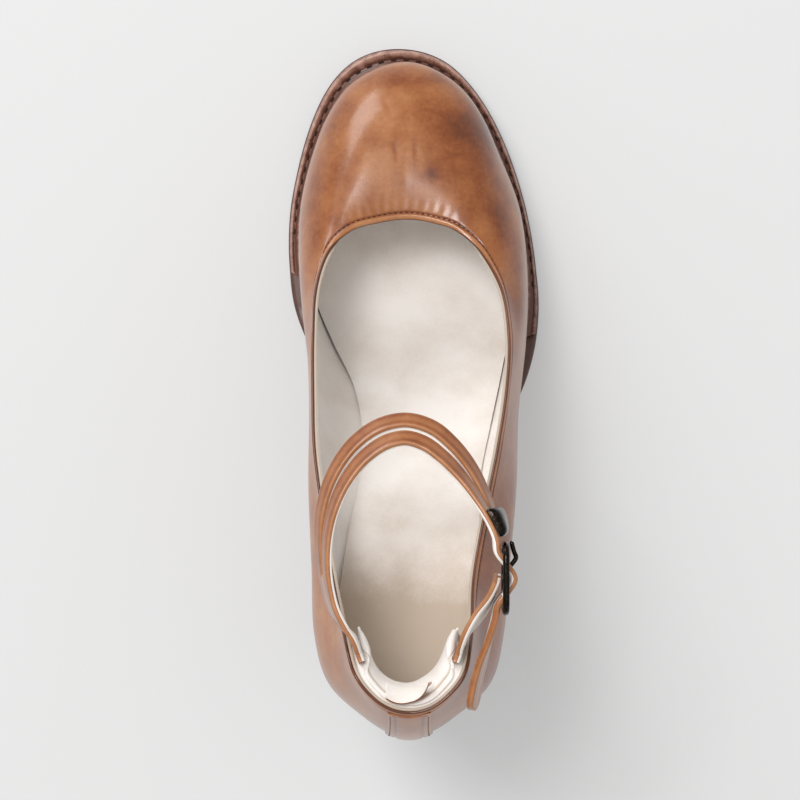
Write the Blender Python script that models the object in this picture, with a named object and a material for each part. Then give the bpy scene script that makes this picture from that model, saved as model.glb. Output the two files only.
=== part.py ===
"""Right shoe: a closed round-toe pump on a block heel, with a split ankle strap and a buckle.

The origin is the middle of the heel's tread. +X is the outer (lateral) side, +Y the toe, +Z up.
Every table holds shares of the named sizes. A station is a share of the length that it runs along.
"""
import math

import bmesh
import bpy
import numpy as np

# Lengths along the shoe
SOLE_BACK = -0.0275
SOLE_LENGTH = 0.2347
FEATHER_SET_BACK = 0.0020
FEATHER_SET_TOE = 0.0067
COUNTER_BULGE = 0.0041
TOE_LEAN = 0.0055
COUNTER_LEAN = 0.0115
THROAT_SET = 0.0556
CAP_SET = 0.0295

# Widths and heights
BALL_WIDTH = 0.0894
HEEL_HEIGHT = 0.0775
TOE_SPRING = 0.0070
COLLAR_HEIGHT = 0.1500

# Thicknesses and clearances
WALL = 0.0020
OUTSOLE_THICK = 0.0050
SHANK_THICK = 0.0036
WELT_THICK = 0.0033
INSOLE_THICK = 0.0052
GAP = 0.0003
SEAT_GAP = 0.0005
WELT_TUCK = 0.0015
WELT_STEP = 0.0006
EDGE_BEVEL = 0.0008

# Where the flat tread ends and the toe spring's curve starts, as a share of the sole's length
TREAD_END = 0.76
SPRING_POWER = 1.7

# Ends of the welt around the shoe, and how long it runs out there
WELT_MEDIAL_END = 0.303
WELT_LATERAL_END = 0.728
WELT_TAPER = 0.035

# Heel block
TOP_PIECE_THICK = 0.0060
HEEL_FOOT_WIDTH = 0.0470
HEEL_FOOT_LENGTH = 0.0450
HEEL_SEAT_INSET = 0.0008
BREAST_STATION = 0.245
HEEL_CHAMFER = 0.0008
HEEL_SEAT_AROUND = 0.92
HEEL_TAPER = 1.4
HEEL_BACK_POWERS = (0.85, 0.80)
HEEL_BREAST_POWERS = (0.38, 0.30)
HEEL_SIDES = 44
HEEL_LEVELS = 8

# Strap and buckle
ANKLE_HALF_WIDTH = 0.0305
ANKLE_REACH = 0.0753
STRAP_HEIGHT = 0.1480
STRAP_WIDTH = 0.0140
STRAP_THICK = 0.0022
SLIT_WIDTH = 0.0022
STRAP_LEAN = math.radians(44)
ROOT_WIDTH = 0.0098
ROOT_LENGTH = 0.09
SHORT_ROOT_LENGTH = 0.50
SLIT_FROM = 0.16
SLIT_TO = 0.66
TIP_FROM = 0.975
TIP_LEAST = 0.04
BUCKLE_OUT = 0.0305
BUCKLE_ALONG = 0.0254
BUCKLE_HEIGHT = 0.1522
BUCKLE_LENGTH = 0.0212
BUCKLE_TALL = 0.0190
BUCKLE_WIRE = 0.0022
BUCKLE_CORNER = 0.42
BAR_SHARE = 0.93
PRONG_WIRE = 0.0015
KEEPER_LENGTH = 0.0090
KEEPER_THICK = 0.0034
KEEPER_ALONG = 0.0426
KEEPER_END = 0.30
KEEPER_SECTION = ((1.0, 0.35), (0.7, 0.90), (0.0, 1.0), (-0.7, 0.90), (-1.0, 0.35))
PRONG_SEAT = 0.0042
PRONG_ARCH = 0.0012
PRONG_BEND = 0.0022
PRONG_TIP = 0.8

# Trim
BACKSTAY_THICK = 0.0009
BACKSTAY_REACH = 0.030
BACKSTAY_FROM = 0.03
BACKSTAY_TO = 0.97
LINING_THICK = 0.0016
LINING_REACH = 0.125
LINING_INSET = 0.0062
LINING_TOP = 0.988
LINING_FOOT = 0.30
LINING_END_THIN = 0.45

# Cells of the meshes
HALF_TURNS = 42
UPPER_ROWS = 9
ANKLE_STEPS = 85
SHORT_STEPS = 22
WELT_STEPS = 41
KEEPER_STEPS = 9
FRAME_STEPS = 44
TUBE_SIDES = 8


def table(columns, rows):
    """Named columns of a short table with one row for each section."""
    return dict(zip(columns.split(), np.array(rows, dtype=float).T))


# Height of the sole's underside as a share of the heel height
ARCH = table("station height", [
    (0.00, 1.030),
    (0.117, 1.000),
    (0.180, 0.962),
    (0.232, 0.910),
    (0.288, 0.805),
    (0.351, 0.635),
    (0.415, 0.435),
    (0.479, 0.235),
    (0.522, 0.120),
    (0.565, 0.035),
    (0.603, 0.000),
    (0.660, 0.000),
    (1.000, 0.000),
])

# Half widths as shares of half the ball width, out from the shoe's middle line
SOLE_OUTLINE = table("station medial lateral", [
    (0.000, 0.000, 0.000),
    (0.019, 0.270, 0.270),
    (0.058, 0.450, 0.450),
    (0.117, 0.580, 0.580),
    (0.200, 0.590, 0.590),
    (0.290, 0.490, 0.570),
    (0.370, 0.430, 0.610),
    (0.440, 0.460, 0.790),
    (0.490, 0.600, 0.920),
    (0.545, 0.780, 1.010),
    (0.600, 0.900, 1.045),
    (0.675, 0.955, 1.020),
    (0.750, 0.950, 0.955),
    (0.820, 0.885, 0.850),
    (0.893, 0.770, 0.685),
    (0.948, 0.620, 0.490),
    (0.985, 0.410, 0.260),
    (1.000, 0.083, -0.083),
])
FEATHER = table("station medial lateral", [
    (0.000, 0.010, -0.010),
    (0.016, 0.220, 0.220),
    (0.050, 0.400, 0.400),
    (0.114, 0.530, 0.530),
    (0.180, 0.555, 0.560),
    (0.270, 0.480, 0.560),
    (0.360, 0.390, 0.580),
    (0.430, 0.385, 0.670),
    (0.490, 0.455, 0.750),
    (0.560, 0.635, 0.830),
    (0.630, 0.785, 0.905),
    (0.700, 0.842, 0.905),
    (0.770, 0.826, 0.839),
    (0.830, 0.761, 0.738),
    (0.886, 0.670, 0.628),
    (0.930, 0.562, 0.509),
    (0.965, 0.430, 0.352),
    (0.988, 0.232, 0.165),
    (1.000, 0.030, -0.030),
])
BELLY = table("station medial lateral", [
    (0.00, 0.000, 0.000),
    (0.03, 0.335, 0.335),
    (0.08, 0.600, 0.605),
    (0.15, 0.705, 0.705),
    (0.25, 0.730, 0.755),
    (0.38, 0.745, 0.815),
    (0.50, 0.750, 0.850),
    (0.60, 0.795, 0.925),
    (0.70, 0.860, 0.935),
    (0.78, 0.854, 0.884),
    (0.86, 0.760, 0.733),
    (0.91, 0.662, 0.620),
    (0.95, 0.536, 0.486),
    (0.98, 0.372, 0.312),
    (1.00, 0.025, -0.025),
])
SHOULDER = table("station medial lateral", [
    (0.00, 0.000, 0.000),
    (0.03, 0.290, 0.290),
    (0.08, 0.485, 0.490),
    (0.15, 0.575, 0.570),
    (0.25, 0.655, 0.665),
    (0.38, 0.722, 0.760),
    (0.50, 0.748, 0.815),
    (0.60, 0.770, 0.860),
    (0.70, 0.815, 0.885),
    (0.78, 0.800, 0.835),
    (0.86, 0.703, 0.712),
    (0.93, 0.542, 0.532),
    (0.98, 0.325, 0.290),
    (1.00, 0.030, -0.030),
])
TOPLINE = table("station along medial lateral medial_height lateral_height", [
    (0.00, 0.000, 0.000, 0.000, 1.000, 1.000),
    (0.03, 0.030, 0.270, 0.270, 0.999, 0.999),
    (0.08, 0.081, 0.410, 0.410, 0.990, 0.990),
    (0.12, 0.121, 0.455, 0.445, 0.960, 0.957),
    (0.15, 0.152, 0.482, 0.462, 0.920, 0.915),
    (0.25, 0.253, 0.570, 0.480, 0.800, 0.795),
    (0.38, 0.390, 0.655, 0.575, 0.702, 0.697),
    (0.50, 0.521, 0.722, 0.680, 0.615, 0.610),
    (0.60, 0.633, 0.737, 0.750, 0.548, 0.535),
    (0.70, 0.744, 0.742, 0.776, 0.476, 0.455),
    (0.78, 0.840, 0.729, 0.735, 0.412, 0.395),
    (0.86, 0.925, 0.640, 0.575, 0.362, 0.353),
    (0.93, 0.973, 0.455, 0.380, 0.337, 0.335),
    (0.98, 0.992, 0.240, 0.190, 0.324, 0.324),
    (1.00, 1.000, 0.013, -0.013, 0.320, 0.320),
])
# How high the belly and the shoulder lie between the feather edge and the topline
RISE = table("station belly shoulder", [
    (0.00, 0.330, 0.670),
    (0.38, 0.340, 0.680),
    (0.60, 0.350, 0.690),
    (0.70, 0.350, 0.690),
    (0.78, 0.395, 0.735),
    (0.86, 0.470, 0.815),
    (0.93, 0.540, 0.885),
    (1.00, 0.590, 0.930),
])

# The ankle strap's middle line: across in ankle half widths, along in reaches, up in strap heights
ANKLE_PATH = table("across along height lean", [
    (-0.492, -0.027, 0.983, 0.00),
    (-0.540, 0.027, 0.983, 0.00),
    (-0.588, 0.075, 0.992, 0.00),
    (-0.682, 0.125, 0.995, 0.10),
    (-0.785, 0.195, 0.996, 0.20),
    (-0.850, 0.280, 0.994, 0.25),
    (-0.898, 0.438, 0.997, 0.35),
    (-0.860, 0.620, 1.000, 0.60),
    (-0.725, 0.765, 1.000, 0.80),
    (-0.505, 0.882, 1.000, 0.95),
    (-0.262, 0.947, 1.000, 1.00),
    (-0.033, 0.965, 1.000, 1.00),
    (0.197, 0.938, 1.003, 1.00),
    (0.390, 0.878, 1.007, 0.90),
    (0.566, 0.798, 1.010, 0.75),
    (0.732, 0.690, 1.017, 0.50),
    (0.860, 0.571, 1.024, 0.20),
    (0.903, 0.490, 1.027, 0.00),
    (0.915, 0.450, 1.028, 0.00),
    (1.010, 0.395, 1.028, 0.00),
    (1.087, 0.337, 1.028, 0.00),
    (1.010, 0.279, 1.028, 0.00),
    (0.912, 0.220, 1.027, 0.00),
    (0.893, 0.180, 1.024, 0.00),
    (0.843, 0.100, 1.014, 0.05),
    (0.754, -0.027, 0.997, 0.20),
    (0.690, -0.146, 0.983, 0.25),
    (0.665, -0.226, 0.975, 0.30),
])
BUCKLE_STRAP_PATH = table("across along height lean", [
    (0.480, -0.027, 0.983, 0.0),
    (0.527, 0.027, 0.984, 0.0),
    (0.585, 0.085, 0.997, -0.10),
    (0.740, 0.186, 1.008, -0.25),
    (0.860, 0.275, 1.020, -0.10),
    (0.915, 0.345, 1.028, 0.0),
])

# The lining inside the collar: how far in from the upper's face its edge stands, and its fullest line
LINING_EDGE = table("station inset", [
    (0.00, 0.52),
    (0.50, 0.52),
    (0.68, 0.60),
    (0.80, 1.16),
    (0.90, 1.12),
    (1.00, 1.05),
])
LINING_CREST = table("station across along height", [
    (-1.00, -0.545, 0.130, 0.870),
    (-0.75, -0.470, 0.020, 0.873),
    (-0.45, -0.345, -0.080, 0.873),
    (-0.20, -0.170, -0.130, 0.873),
    (0.00, 0.000, -0.140, 0.873),
    (0.20, 0.150, -0.115, 0.873),
    (0.45, 0.305, -0.060, 0.873),
    (0.75, 0.430, 0.050, 0.873),
    (1.00, 0.520, 0.130, 0.870),
])


def cubic(knots, values, at):
    """Smooth curve through the knots, by cubic pieces that share their slopes."""
    slopes = np.gradient(values, knots, edge_order=2)
    place = np.clip(np.searchsorted(knots, at, side="right") - 1, 0, len(knots) - 2)
    width = knots[place + 1] - knots[place]
    t = (at - knots[place]) / width
    start = (2 * t**3 - 3 * t**2 + 1) * values[place] + (t**3 - 2 * t**2 + t) * width * slopes[place]
    end = (3 * t**2 - 2 * t**3) * values[place + 1] + (t**3 - t**2) * width * slopes[place + 1]
    return start + end


def turn_of(station):
    """Turn of a round-ended outline at a station, from 0 at the back to 1 at the toe."""
    return np.arccos(1 - 2 * np.asarray(station)) / math.pi


def station_of(around):
    """Station at a place around the shoe: 0 back, 0.25 medial, 0.5 toe, 0.75 lateral."""
    return (1 - np.cos(2 * math.pi * around)) / 2


def across(outline, around):
    """Half width at a place around the shoe, signed with +X to the lateral side."""
    around = np.mod(around, 1.0)
    turn = 1 - np.abs(1 - 2 * around)
    knots = turn_of(outline["station"])
    medial = cubic(knots, outline["medial"], turn)
    lateral = cubic(knots, outline["lateral"], turn)
    return np.where(around <= 0.5, -medial, lateral) * BALL_WIDTH / 2


def ring(outline, around, back, front):
    """Plan of one closed outline between its back and front places along the shoe."""
    along = back + (front - back) * station_of(around)
    return across(outline, around), along


def sole_station(along):
    """Station of a place along the shoe on the sole."""
    return (along - SOLE_BACK) / SOLE_LENGTH


def arch_height(along):
    """Height of the sole's underside: heel seat, shank, flat tread and toe spring."""
    station = np.clip(sole_station(along), 0, 1)
    shank = np.maximum(cubic(ARCH["station"], ARCH["height"], station), 0)
    spring = (np.maximum(station - TREAD_END, 0) / (1 - TREAD_END)) ** SPRING_POWER
    return HEEL_HEIGHT * shank + TOE_SPRING * spring


def blend(value, start, end):
    """Soft step from 0 at start to 1 at end."""
    t = np.clip((value - start) / (end - start), 0, 1)
    return t * t * (3 - 2 * t)


def outsole_top(along):
    """Height of the outsole's upper face, thinner at the shank and seat."""
    thick = SHANK_THICK + (OUTSOLE_THICK - SHANK_THICK) * blend(sole_station(along), 0.40, 0.56)
    return arch_height(along) + thick




def welt_thickness(around):
    """Thickness of the welt around the shoe, run out to nothing at its two ends."""
    rise = blend(around, WELT_MEDIAL_END - WELT_TAPER, WELT_MEDIAL_END + WELT_TAPER)
    fall = 1 - blend(around, WELT_LATERAL_END - WELT_TAPER, WELT_LATERAL_END + WELT_TAPER)
    return WELT_THICK * rise * fall


FEATHER_BACK = SOLE_BACK + FEATHER_SET_BACK
FEATHER_FRONT = SOLE_BACK + SOLE_LENGTH - FEATHER_SET_TOE
BELLY_BACK = FEATHER_BACK - COUNTER_BULGE
BELLY_FRONT = FEATHER_FRONT - TOE_LEAN
TOPLINE_BACK = BELLY_BACK + COUNTER_LEAN
TOPLINE_FRONT = FEATHER_FRONT - THROAT_SET
SHOULDER_BACK = BELLY_BACK + COUNTER_LEAN / 3
SHOULDER_FRONT = FEATHER_FRONT - CAP_SET


def feather_edge(around):
    """Lower edge of the upper, on the welt or on the outsole."""
    x, y = ring(FEATHER, around, FEATHER_BACK, FEATHER_FRONT)
    welt = welt_thickness(around)
    lift = SEAT_GAP + welt + SEAT_GAP * welt / WELT_THICK
    return np.stack([x, y, outsole_top(y) + lift], -1)


def topline(around):
    """Upper edge of the upper: the foot opening and the collar."""
    knots = turn_of(TOPLINE["station"])
    turn = 1 - np.abs(1 - 2 * np.mod(around, 1.0))
    x = across(TOPLINE, around)
    y = TOPLINE_BACK + (TOPLINE_FRONT - TOPLINE_BACK) * cubic(knots, TOPLINE["along"], turn)
    medial = cubic(knots, TOPLINE["medial_height"], turn)
    lateral = cubic(knots, TOPLINE["lateral_height"], turn)
    share = np.where(np.mod(around, 1.0) <= 0.5, medial, lateral)
    return np.stack([x, y, COLLAR_HEIGHT * share], -1)


def upper_surface(around, up):
    """Outer face of the upper: one cubic from the feather edge through belly and shoulder to the topline."""
    around, up = np.broadcast_arrays(np.asarray(around, float), np.asarray(up, float))
    foot, top = feather_edge(around), topline(around)
    turn = 1 - np.abs(1 - 2 * np.mod(around, 1.0))
    knots = turn_of(RISE["station"])
    rings = [foot]
    for outline, column, back, front in (
        (BELLY, "belly", BELLY_BACK, BELLY_FRONT),
        (SHOULDER, "shoulder", SHOULDER_BACK, SHOULDER_FRONT),
    ):
        x, y = ring(outline, around, back, front)
        rise = cubic(knots, RISE[column], turn)
        z = foot[..., 2] + rise * (top[..., 2] - foot[..., 2])
        rings.append(np.stack([x, y, z], -1))
    rings.append(top)
    v = up[..., None] * 3
    shares = (
        (1 - v) * (2 - v) * (3 - v) / 6,
        v * (2 - v) * (3 - v) / 2,
        v * (v - 1) * (3 - v) / 2,
        v * (v - 1) * (v - 2) / 6,
    )
    return sum(share * loop for share, loop in zip(shares, rings))


def normals_of(surface, u, v):
    """Unit normals of a surface by small steps to both sides, for u anticlockwise and v upward."""
    step = 1e-4
    along_u = surface(u + step, v) - surface(u - step, v)
    along_v = surface(u, v + step) - surface(u, v - step)
    normal = np.cross(along_u, along_v)
    return normal / np.linalg.norm(normal, axis=-1, keepdims=True)


def upper_at(around, up, out):
    """Point of the upper moved out of its outer face by a distance, inward where it is negative."""
    around, up = np.broadcast_arrays(np.asarray(around, float), np.asarray(up, float))
    out = np.broadcast_to(np.asarray(out, float), around.shape)
    return upper_surface(around, up) - normals_of(upper_surface, around, up) * out[..., None]


def material(name, colour, roughness, metallic=0.0):
    """Plain material of one piece."""
    made = bpy.data.materials.new(name)
    made.use_nodes = True
    shader = made.node_tree.nodes["Principled BSDF"]
    shader.inputs["Base Color"].default_value = (*colour, 1)
    shader.inputs["Roughness"].default_value = roughness
    shader.inputs["Metallic"].default_value = metallic
    return made


def solid(name, points, faces, finish):
    """One named object from points and faces, with doubles merged and faces turned outward."""
    mesh = bpy.data.meshes.new(name)
    mesh.from_pydata([tuple(point) for point in points], [], faces)
    shape = bmesh.new()
    shape.from_mesh(mesh)
    bmesh.ops.remove_doubles(shape, verts=shape.verts, dist=2e-6)
    bmesh.ops.recalc_face_normals(shape, faces=shape.faces)
    shape.to_mesh(mesh)
    shape.free()
    mesh.shade_smooth()
    mesh.set_sharp_from_angle(angle=math.radians(40))
    mesh.materials.append(material(name, *finish))
    made = bpy.data.objects.new(name, mesh)
    bpy.context.scene.collection.objects.link(made)
    return made


def solid_of_loops(name, loops, finish):
    """Closed solid through closed loops of points, whose first and last loops fold flat on a spine."""
    count, size = len(loops), len(loops[0])
    faces = []
    for row in range(count - 1):
        for place in range(size):
            after = (place + 1) % size
            faces.append((row * size + place, row * size + after,
                          (row + 1) * size + after, (row + 1) * size + place))
    return solid(name, np.concatenate(loops), faces, finish)


def solid_of_sheet(name, outer, inner, finish, around=False, kept=None):
    """Closed solid between two grids of points, with walls at every free edge and at every hole."""
    rows, columns = outer.shape[:2]
    cells_long = rows if around else rows - 1
    if kept is None:
        kept = np.ones((cells_long, columns - 1), dtype=bool)
    behind = rows * columns
    faces = []
    edges = {}
    for row in range(cells_long):
        for column in range(columns - 1):
            if not kept[row, column]:
                continue
            after = (row + 1) % rows
            corners = (row * columns + column, after * columns + column,
                       after * columns + column + 1, row * columns + column + 1)
            faces.append(corners)
            faces.append(tuple(behind + corner for corner in reversed(corners)))
            for place in range(4):
                start, end = corners[place], corners[(place + 1) % 4]
                if (end, start) in edges:
                    del edges[(end, start)]
                else:
                    edges[(start, end)] = True
    for start, end in edges:
        faces.append((end, start, behind + start, behind + end))
    points = np.concatenate([outer.reshape(-1, 3), inner.reshape(-1, 3)])
    used = np.unique([corner for face in faces for corner in face])
    renumber = {old: new for new, old in enumerate(used)}
    faces = [tuple(renumber[corner] for corner in face) for face in faces]
    return solid(name, points[used], faces, finish)


def inset_loop(x, y, distance):
    """Closed plan outline moved inward along its own normals."""
    step_x = np.roll(x, -1) - np.roll(x, 1)
    step_y = np.roll(y, -1) - np.roll(y, 1)
    length = np.hypot(step_x, step_y)
    return x + distance * step_y / length, y - distance * step_x / length


def disc_loops(x, y, top, bottom, bevel):
    """Loops of a slab with bevelled edges between two height functions."""
    edge = np.column_stack([x, y])
    inner = np.column_stack(inset_loop(x, y, bevel))
    spine = (inner + inner[-np.arange(len(x))]) / 2
    half = (spine + inner) / 2

    def loop(plan, height):
        return np.column_stack([plan, height(plan[:, 1])])

    return [
        loop(spine, top),
        loop(half, top),
        loop(inner, top),
        loop(edge, lambda along: top(along) - bevel),
        loop(edge, lambda along: bottom(along) + bevel),
        loop(inner, bottom),
        loop(half, bottom),
        loop(spine, bottom),
    ]


AROUND = np.arange(2 * HALF_TURNS) / (2 * HALF_TURNS)
COGNAC = ((0.36, 0.17, 0.075), 0.4)
DARK_LEATHER = ((0.07, 0.03, 0.018), 0.5)
CREAM = ((0.66, 0.59, 0.49), 0.6)
RUBBER = ((0.02, 0.015, 0.012), 0.7)
GUNMETAL = ((0.05, 0.045, 0.05), 0.3, 1.0)


def make_upper():
    """Hollow shell of the upper, open at the foot opening and underneath."""
    up = np.linspace(0, 1, UPPER_ROWS + 1)
    around, up = np.meshgrid(AROUND, up, indexing="ij")
    return solid_of_sheet("upper", upper_at(around, up, 0.0), upper_at(around, up, -WALL), COGNAC, True)


def make_outsole():
    """Sole slab from toe to heel seat."""
    x, y = ring(SOLE_OUTLINE, AROUND, SOLE_BACK, SOLE_BACK + SOLE_LENGTH)
    loops = disc_loops(x, y, outsole_top, arch_height, EDGE_BEVEL)
    return solid_of_loops("outsole", loops, DARK_LEATHER)


def make_insole():
    """Padded inner sole, inside the welt and the upper's wall."""
    foot = upper_at(AROUND, 0.0, -WALL - GAP)
    x, y = inset_loop(foot[:, 0], foot[:, 1], GAP)
    loops = disc_loops(
        x, y,
        lambda along: outsole_top(along) + SEAT_GAP + INSOLE_THICK,
        lambda along: outsole_top(along) + SEAT_GAP,
        EDGE_BEVEL,
    )
    return solid_of_loops("insole", loops, CREAM)


def make_welt():
    """Stitched strip on the outsole round the forefoot, tapered at both ends."""
    around = np.linspace(WELT_MEDIAL_END, WELT_LATERAL_END, WELT_STEPS)
    x, y = ring(SOLE_OUTLINE, around, SOLE_BACK, SOLE_BACK + SOLE_LENGTH)
    foot = feather_edge(around)
    edge = np.stack([x, y], -1)
    inner = foot[:, :2].copy()
    outward = edge - inner
    width = np.linalg.norm(outward, axis=-1, keepdims=True)
    outward = outward / width
    inner -= outward * WELT_TUCK
    edge -= outward * WELT_STEP
    thick = welt_thickness(around)
    shares = (0.0, 0.35, 0.60, 0.80, 0.94, 1.0)
    crowns = (1.0, 1.0, 0.93, 1.0, 0.97, 0.80)
    top, bottom = [], []
    for share, crown in zip(shares, crowns):
        plan = inner + (edge - inner) * share
        low = outsole_top(plan[:, 1]) + SEAT_GAP
        bottom.append(np.column_stack([plan, low]))
        top.append(np.column_stack([plan, low + thick * crown]))
    return solid_of_sheet("welt", np.stack(top, 1), np.stack(bottom, 1), DARK_LEATHER)


def heel_outline(half_width, back, front, count):
    """D-shaped plan: round at the back, square at the breast."""
    angle = 2 * math.pi * np.arange(count) / count
    sine, cosine = np.sin(angle), np.cos(angle)
    wide = np.where(cosine > 0, HEEL_BACK_POWERS[0], HEEL_BREAST_POWERS[0])
    long = np.where(cosine > 0, HEEL_BACK_POWERS[1], HEEL_BREAST_POWERS[1])
    x = half_width * np.sign(sine) * np.abs(sine) ** wide
    middle = (back + front) / 2
    y = middle - (front - back) / 2 * np.sign(cosine) * np.abs(cosine) ** long
    return x, y


def make_heel():
    """Block heel from under the seat to the top piece."""
    breast = SOLE_BACK + SOLE_LENGTH * BREAST_STATION
    seat_half = across(SOLE_OUTLINE, HEEL_SEAT_AROUND) - HEEL_SEAT_INSET
    loops = []
    for level in np.linspace(0, 1, HEEL_LEVELS):
        share = level**HEEL_TAPER
        half = HEEL_FOOT_WIDTH / 2 + (seat_half - HEEL_FOOT_WIDTH / 2) * share
        back = -HEEL_FOOT_LENGTH / 2 + (SOLE_BACK + HEEL_SEAT_INSET + HEEL_FOOT_LENGTH / 2) * share
        front = HEEL_FOOT_LENGTH / 2 + (breast - HEEL_FOOT_LENGTH / 2) * share
        x, y = heel_outline(half, back, front, HEEL_SIDES)
        low = TOP_PIECE_THICK + GAP
        z = low + (arch_height(y) - SEAT_GAP - low) * level
        loops.append(np.stack([x, y, z], -1))
    first, last = loops[0].copy(), loops[-1].copy()
    first[:, 0] = 0
    last[:, 0] = 0
    return solid_of_loops("heel", [first, *loops, last], DARK_LEATHER)


def make_top_piece():
    """Rubber piece that the heel stands on."""
    x, y = heel_outline(HEEL_FOOT_WIDTH / 2, -HEEL_FOOT_LENGTH / 2, HEEL_FOOT_LENGTH / 2, HEEL_SIDES)
    small = 1 - 2 * HEEL_CHAMFER / HEEL_FOOT_WIDTH
    heights = ((0.0, 0.0), (small, 0.0), (1.0, HEEL_CHAMFER), (1.0, TOP_PIECE_THICK), (0.0, TOP_PIECE_THICK))
    loops = [np.stack([x * size, y * (size or small), np.full_like(x, z)], -1) for size, z in heights]
    return solid_of_loops("heel_top_piece", loops, RUBBER)


def path_frames(path, count, start=0.0, end=1.0):
    """Points at even steps along a strap's path, with its forward, outward and upward directions."""
    points = np.column_stack([
        path["across"] * ANKLE_HALF_WIDTH,
        path["along"] * ANKLE_REACH,
        path["height"] * STRAP_HEIGHT,
    ])
    chords = np.linalg.norm(np.diff(points, axis=0), axis=-1)
    knots = np.concatenate([[0], np.cumsum(chords)])
    knots = knots / knots[-1]
    at = np.linspace(start, end, count)
    middle = np.stack([cubic(knots, points[:, axis], at) for axis in range(3)], -1)
    step = 1e-3
    ahead = np.stack([cubic(knots, points[:, axis], at + step) for axis in range(3)], -1)
    behind = np.stack([cubic(knots, points[:, axis], at - step) for axis in range(3)], -1)
    forward = ahead - behind
    forward /= np.linalg.norm(forward, axis=-1, keepdims=True)
    side = np.stack([-forward[:, 1], forward[:, 0], np.zeros(count)], -1)
    side /= np.linalg.norm(side, axis=-1, keepdims=True)
    lean = STRAP_LEAN * cubic(knots, path["lean"], at)[:, None]
    upward = np.array([0.0, 0.0, 1.0]) * np.cos(lean) - side * np.sin(lean)
    upward -= forward * np.sum(upward * forward, axis=-1, keepdims=True)
    upward /= np.linalg.norm(upward, axis=-1, keepdims=True)
    outward = np.cross(upward, forward)
    return at, middle, outward, upward


def strap_sheet(frames, widths, round_from, root_length):
    """Outer and inner grids of a strap, narrow at its root and rounded off towards its free end."""
    at, middle, outward, upward = frames
    taper = np.clip((1 - at) / (1 - round_from), 0, 1)
    share = np.sqrt(np.clip(1 - (1 - taper) ** 2, TIP_LEAST, 1))
    share = share * (ROOT_WIDTH + (STRAP_WIDTH - ROOT_WIDTH) * blend(at, 0, root_length)) / STRAP_WIDTH
    offset = (widths[None, :] * share[:, None])[..., None]
    spread = middle[:, None, :] + upward[:, None, :] * offset
    skin = outward[:, None, :] * STRAP_THICK / 2
    return spread + skin, spread - skin


def make_ankle_strap():
    """Long strap from the medial side of the collar, split over the instep, to its tail past the buckle."""
    frames = path_frames(ANKLE_PATH, ANKLE_STEPS)
    half, slit = STRAP_WIDTH / 2, SLIT_WIDTH / 2
    widths = np.array([half, slit, -slit, -half])
    outer, inner = strap_sheet(frames, widths, TIP_FROM, ROOT_LENGTH)
    middle_cells = (frames[0][1:] + frames[0][:-1]) / 2
    kept = np.ones((ANKLE_STEPS - 1, 3), dtype=bool)
    kept[:, 1] = (middle_cells < SLIT_FROM) | (middle_cells > SLIT_TO)
    hole = np.argmin(np.abs(frames[1][:-1, 1] - BUCKLE_ALONG - PRONG_SEAT) + (frames[0][:-1] < 0.5))
    kept[hole - 1:hole + 1, 1] = False
    return solid_of_sheet("ankle_strap", outer, inner, COGNAC, kept=kept)


def make_buckle_strap():
    """Short strap from the lateral side of the collar to the buckle's middle bar."""
    frames = path_frames(BUCKLE_STRAP_PATH, SHORT_STEPS)
    widths = np.linspace(1, -1, 4) * STRAP_WIDTH / 2
    outer, inner = strap_sheet(frames, widths, TIP_FROM, SHORT_ROOT_LENGTH)
    return solid_of_sheet("buckle_strap", outer, inner, COGNAC)


def tube(name, path, radius, finish, closed, sides=TUBE_SIDES):
    """Round wire along a path of points, closed on itself or capped."""
    path = np.asarray(path, float)
    if closed:
        forward = np.roll(path, -1, 0) - np.roll(path, 1, 0)
    else:
        forward = np.gradient(path, axis=0)
    forward /= np.linalg.norm(forward, axis=-1, keepdims=True)
    side = np.cross(forward, np.array([1.0, 0.02, 0.013]))
    side /= np.linalg.norm(side, axis=-1, keepdims=True)
    third = np.cross(forward, side)
    radius = np.broadcast_to(np.asarray(radius, float), (len(path),))
    angle = 2 * math.pi * np.arange(sides) / sides
    rings = (path[:, None] + radius[:, None, None]
             * (side[:, None] * np.cos(angle)[:, None] + third[:, None] * np.sin(angle)[:, None]))
    faces = []
    count = len(path)
    for row in range(count if closed else count - 1):
        for place in range(sides):
            after = (place + 1) % sides
            later = (row + 1) % count
            faces.append((row * sides + place, row * sides + after,
                          later * sides + after, later * sides + place))
    if not closed:
        faces.append(tuple(range(sides)))
        faces.append(tuple((count - 1) * sides + place for place in reversed(range(sides))))
    return solid(name, rings.reshape(-1, 3), faces, finish)


def make_buckle_frame():
    """Rounded frame of the buckle with its middle bar, in the plane of the ankle's side."""
    angle = 2 * math.pi * np.arange(FRAME_STEPS) / FRAME_STEPS
    along = np.sign(np.cos(angle)) * np.abs(np.cos(angle)) ** BUCKLE_CORNER * BUCKLE_LENGTH / 2
    up = np.sign(np.sin(angle)) * np.abs(np.sin(angle)) ** BUCKLE_CORNER * BUCKLE_TALL / 2
    path = np.column_stack([np.full(FRAME_STEPS, BUCKLE_OUT), BUCKLE_ALONG + along, BUCKLE_HEIGHT + up])
    frame = tube("buckle_frame", path, BUCKLE_WIRE / 2, GUNMETAL, True)
    bar_path = [(BUCKLE_OUT, BUCKLE_ALONG, BUCKLE_HEIGHT + share * BUCKLE_TALL / 2) for share in (-1, 0, 1)]
    bar = tube("bar_cutter", bar_path, BUCKLE_WIRE / 2 * BAR_SHARE, GUNMETAL, False)
    bar.hide_render = True
    bar.display_type = "WIRE"
    join = frame.modifiers.new("middle bar", "BOOLEAN")
    join.operation = "UNION"
    join.object = bar
    return frame


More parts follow.
